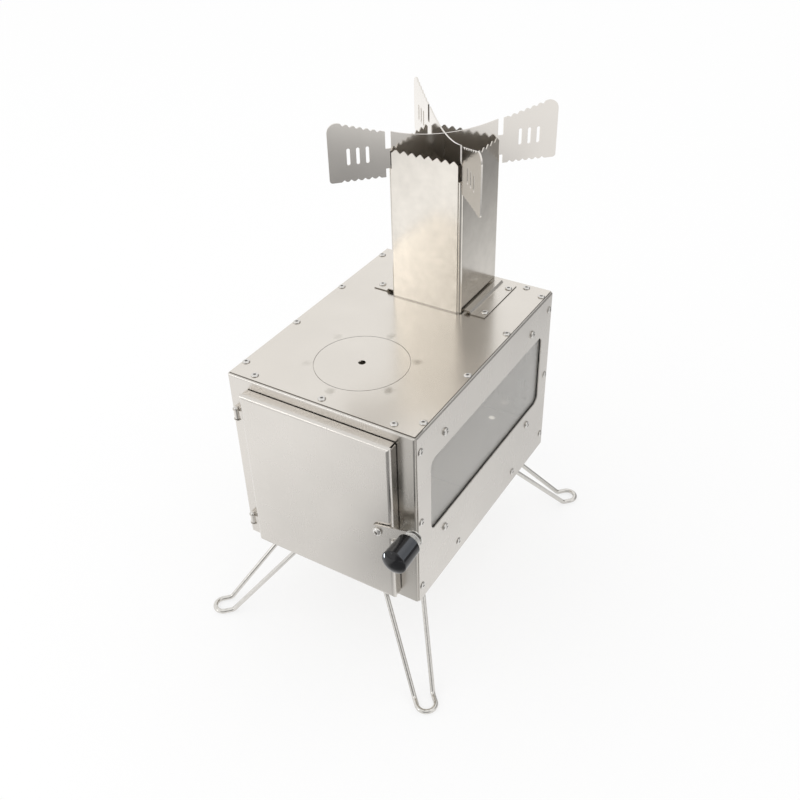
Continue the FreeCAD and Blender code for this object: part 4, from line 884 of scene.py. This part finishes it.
class STOVE_OT_sheet(bpy.types.Operator):
    """Finish the firebox's folded sheet, its floor and the small pressed pieces"""
    bl_idname = "stove.sheet"
    bl_label = "Sheet Metal"

    def execute(self, context):
        finish = context.scene.stove_finish
        upright = sheet_metal("satin_sheet_upright", finish.sheet, finish.sheet_roughness, GRAIN_UP)
        give(upright, *UPRIGHT_SHEET)
        mouth = sheet_metal("satin_sheet_frame", finish.sheet, finish.sheet_roughness, GRAIN_UP)
        # Painted shade on the frame beside the door's latch side
        add_painted_latch_shade(mouth, finish.latch_shade)
        give(mouth, "front_frame")
        # The hearth's colour is partly painted light for the closed firebox
        flat = sheet_metal("satin_sheet_flat", finish.hearth, finish.hearth_roughness, GRAIN_BACK)
        give(flat, *FLAT_SHEET)
        top = sheet_metal("satin_sheet_top", finish.top, finish.top_roughness, GRAIN_BACK)
        add_weld_marks(top, finish.weld)
        # Darkened cut edges
        add_cut_edges(top, finish.edge_tint_and_base_shade)
        give(top, "top_plate")
        lid = sheet_metal("satin_sheet_lid", finish.top, finish.top_roughness, GRAIN_ACROSS)
        give(lid, "cooking_lid")
        small = sheet_metal("satin_sheet_small", finish.sheet, finish.sheet_roughness, GRAIN_EVEN,
                            grain=COARSE_GRAIN)
        give(small, *SMALL_SHEET)
        give(plain_steel("keeper_steel", finish.spring, finish.keeper_roughness, "wear"), "latch_keeper")
        rail = sheet_metal("satin_sheet_rail", finish.top, finish.sheet_roughness, GRAIN_BACK,
                           grain=COARSE_GRAIN)
        # Darkened cut edges
        add_cut_edges(rail, finish.edge_tint_and_base_shade)
        give(rail, *RAILS)
        return {"FINISHED"}


class STOVE_OT_chimney(bpy.types.Operator):
    """Finish the chimney's two shells and the crossed pot supports"""
    bl_idname = "stove.chimney"
    bl_label = "Chimney and Pot Supports"

    def execute(self, context):
        finish = context.scene.stove_finish
        shell = sheet_metal("chimney_sheet", finish.chimney, finish.chimney_roughness, GRAIN_UP,
                            cloud=0.26, cloud_scale=70.0, relief=0.16)
        low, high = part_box(CHIMNEY_SHEET[0])
        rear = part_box(CHIMNEY_SHEET[1])[1].y
        # Painted shade along the chimney's foot
        add_painted_base_shade(shell, low.z, finish.edge_tint_and_base_shade)
        add_dull_inside(shell, ((low.x + high.x) / 2, (low.y + rear) / 2, high.z))
        give(shell, *CHIMNEY_SHEET)
        support = sheet_metal("pot_support_sheet", finish.pot_sheet, finish.pot_roughness, GRAIN_LEVEL)
        give(support, *POT_SHEET)
        return {"FINISHED"}


class STOVE_OT_window(bpy.types.Operator):
    """Finish the window's glass and its black rope gasket"""
    bl_idname = "stove.window"
    bl_label = "Window"

    def execute(self, context):
        finish = context.scene.stove_finish
        give(window_pane(finish), "window_glass")
        give(gasket_rope(finish), "window_gasket")
        return {"FINISHED"}


class STOVE_OT_rivets(bpy.types.Operator):
    """Make the blind rivets on the top, the sides and the rails"""
    bl_idname = "stove.rivets"
    bl_label = "Rivets"

    def execute(self, context):
        finish, sizes = context.scene.stove_finish, context.scene.stove_fasteners
        steel = plain_steel("rivet_steel", finish.fastener, finish.rivet_roughness, "wear")
        # The hollow's colour: the broken mandrel's duller steel, darkened further as painted shade
        dark = [STUB_AND_HOLLOW_SHADE * part for part in finish.fastener]
        hollow_shade_steel = plain_steel("rivet_mandrel_and_hollow_shade", dark, finish.stub_roughness, "wear")
        shape = rivet_shape(sizes)
        for node, letter in RIVET_ROWS.items():
            places = seats(node, letter, sizes.rivet_height)
            add_heads(f"{node}_heads", shape, places, (steel, hollow_shade_steel), "body", node)
        return {"FINISHED"}


class STOVE_OT_screws(bpy.types.Operator):
    """Make the window's screws, the latch's pivot screw and the hinge pins, and finish the turned pieces"""
    bl_idname = "stove.screws"
    bl_label = "Screws and Turned Pieces"

    def execute(self, context):
        finish, sizes = context.scene.stove_finish, context.scene.stove_fasteners
        steel = plain_steel("screw_steel", finish.fastener, finish.screw_roughness, "wear")
        give(steel, *TURNED_STEEL)
        rows = (("window_screws", "X", "body", sizes.screw_radius, sizes.screw_height, sizes.screw_shank),
                ("latch_screw", "-Y", "door", sizes.latch_radius, sizes.latch_height, sizes.latch_shank))
        for node, letter, body, rim, top, shank in rows:
            low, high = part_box(node)
            length = abs((high - low).dot(way(letter))) - top
            shape = screw_shape(sizes, rim, top, shank, length)
            add_heads(f"{node}_turned", shape, seats(node, letter, top, CROSS_TURN), (steel,), body, node)
        self.make_pins(sizes, steel)
        return {"FINISHED"}

    def make_pins(self, sizes, steel):
        """The two hinge pins, each through its bracket and headed above it."""
        low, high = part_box("hinge_pins")
        middle = (low + high) / 2
        spans = [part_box(f"{name}_hinge_bracket") for name in ("lower", "upper")]
        foot, head = spans[1][0].z, spans[1][1].z
        shape = pin_shape(sizes, head - foot, (high.x - low.x) / 2, high.z - head)
        places = [Matrix.Translation((middle.x, middle.y, span[0].z)) for span in spans]
        add_heads("hinge_pins_turned", shape, places, (steel,), "body", "hinge_pins")


class STOVE_OT_wire(bpy.types.Operator):
    """Finish the wire legs and the knob's coil spring"""
    bl_idname = "stove.wire"
    bl_label = "Wire"

    def execute(self, context):
        finish = context.scene.stove_finish
        give(plain_steel("leg_wire", finish.wire, finish.wire_roughness, "streak"), *LEGS)
        spring = plain_steel("spring_wire", finish.spring, finish.spring_roughness, "streak")
        give(spring, "knob_spring", "spring_seat")
        return {"FINISHED"}


class STOVE_OT_knob(bpy.types.Operator):
    """Finish the glossy moulded knob"""
    bl_idname = "stove.knob"
    bl_label = "Knob"

    def execute(self, context):
        finish = context.scene.stove_finish
        plastic, tree, shader, _ = mottled("knob_plastic", finish.knob, finish.knob_roughness, "flow")
        shader.inputs["IOR"].default_value = KNOB_IOR
        shader.inputs["Specular IOR Level"].default_value = KNOB_SPECULAR
        position = node_of(plastic, "TEX_COORD").outputs["Object"]
        bump(tree, shader, noise(tree, position, *PORE_NOISE), *RELIEFS["pores"])
        give(plastic, "knob")
        return {"FINISHED"}


class STOVE_OT_stage(bpy.types.Operator):
    """Set the white floor, the soft light and the camera"""
    bl_idname = "stove.stage"
    bl_label = "Stage"

    def execute(self, context):
        scene, stage = context.scene, context.scene.stove_stage
        lay_floor(scene, stage)
        light_room(scene, stage)
        hang_lamps(scene, stage)
        aim_camera(scene, stage)
        scene.view_settings.view_transform = "Standard"
        return {"FINISHED"}


class STOVE_PT_studio(bpy.types.Panel):
    """The stove's finishes, its fasteners and its stage"""
    bl_idname = "STOVE_PT_studio"
    bl_label = "Camp Stove"
    bl_space_type = "VIEW_3D"
    bl_region_type = "UI"
    bl_category = "Stove"

    def draw(self, context):
        for name in GROUPS:
            settings = getattr(context.scene, name)
            column = self.layout.column()
            for key in settings.__annotations__:
                column.prop(settings, key)
        for operator in OPERATORS:
            self.layout.operator(operator.bl_idname)


OPERATORS = (STOVE_OT_sheet, STOVE_OT_chimney, STOVE_OT_window, STOVE_OT_rivets, STOVE_OT_screws,
             STOVE_OT_wire, STOVE_OT_knob, STOVE_OT_stage)
GROUPS = {"stove_finish": StoveFinish, "stove_fasteners": StoveFasteners, "stove_stage": StoveStage}


def register():
    """Add the classes and the scene's settings."""
    for item in (*GROUPS.values(), *OPERATORS, STOVE_PT_studio):
        bpy.utils.register_class(item)
    for name, group in GROUPS.items():
        setattr(bpy.types.Scene, name, bpy.props.PointerProperty(type=group))


def unregister():
    """Take the settings and the classes away again."""
    for name in GROUPS:
        delattr(bpy.types.Scene, name)
    for item in reversed((*GROUPS.values(), *OPERATORS, STOVE_PT_studio)):
        bpy.utils.unregister_class(item)


def main():
    """Build everything in order."""
    register()
    for operator in OPERATORS:
        category, name = operator.bl_idname.split(".")
        getattr(getattr(bpy.ops, category), name)()


if __name__ == "__main__":
    main()
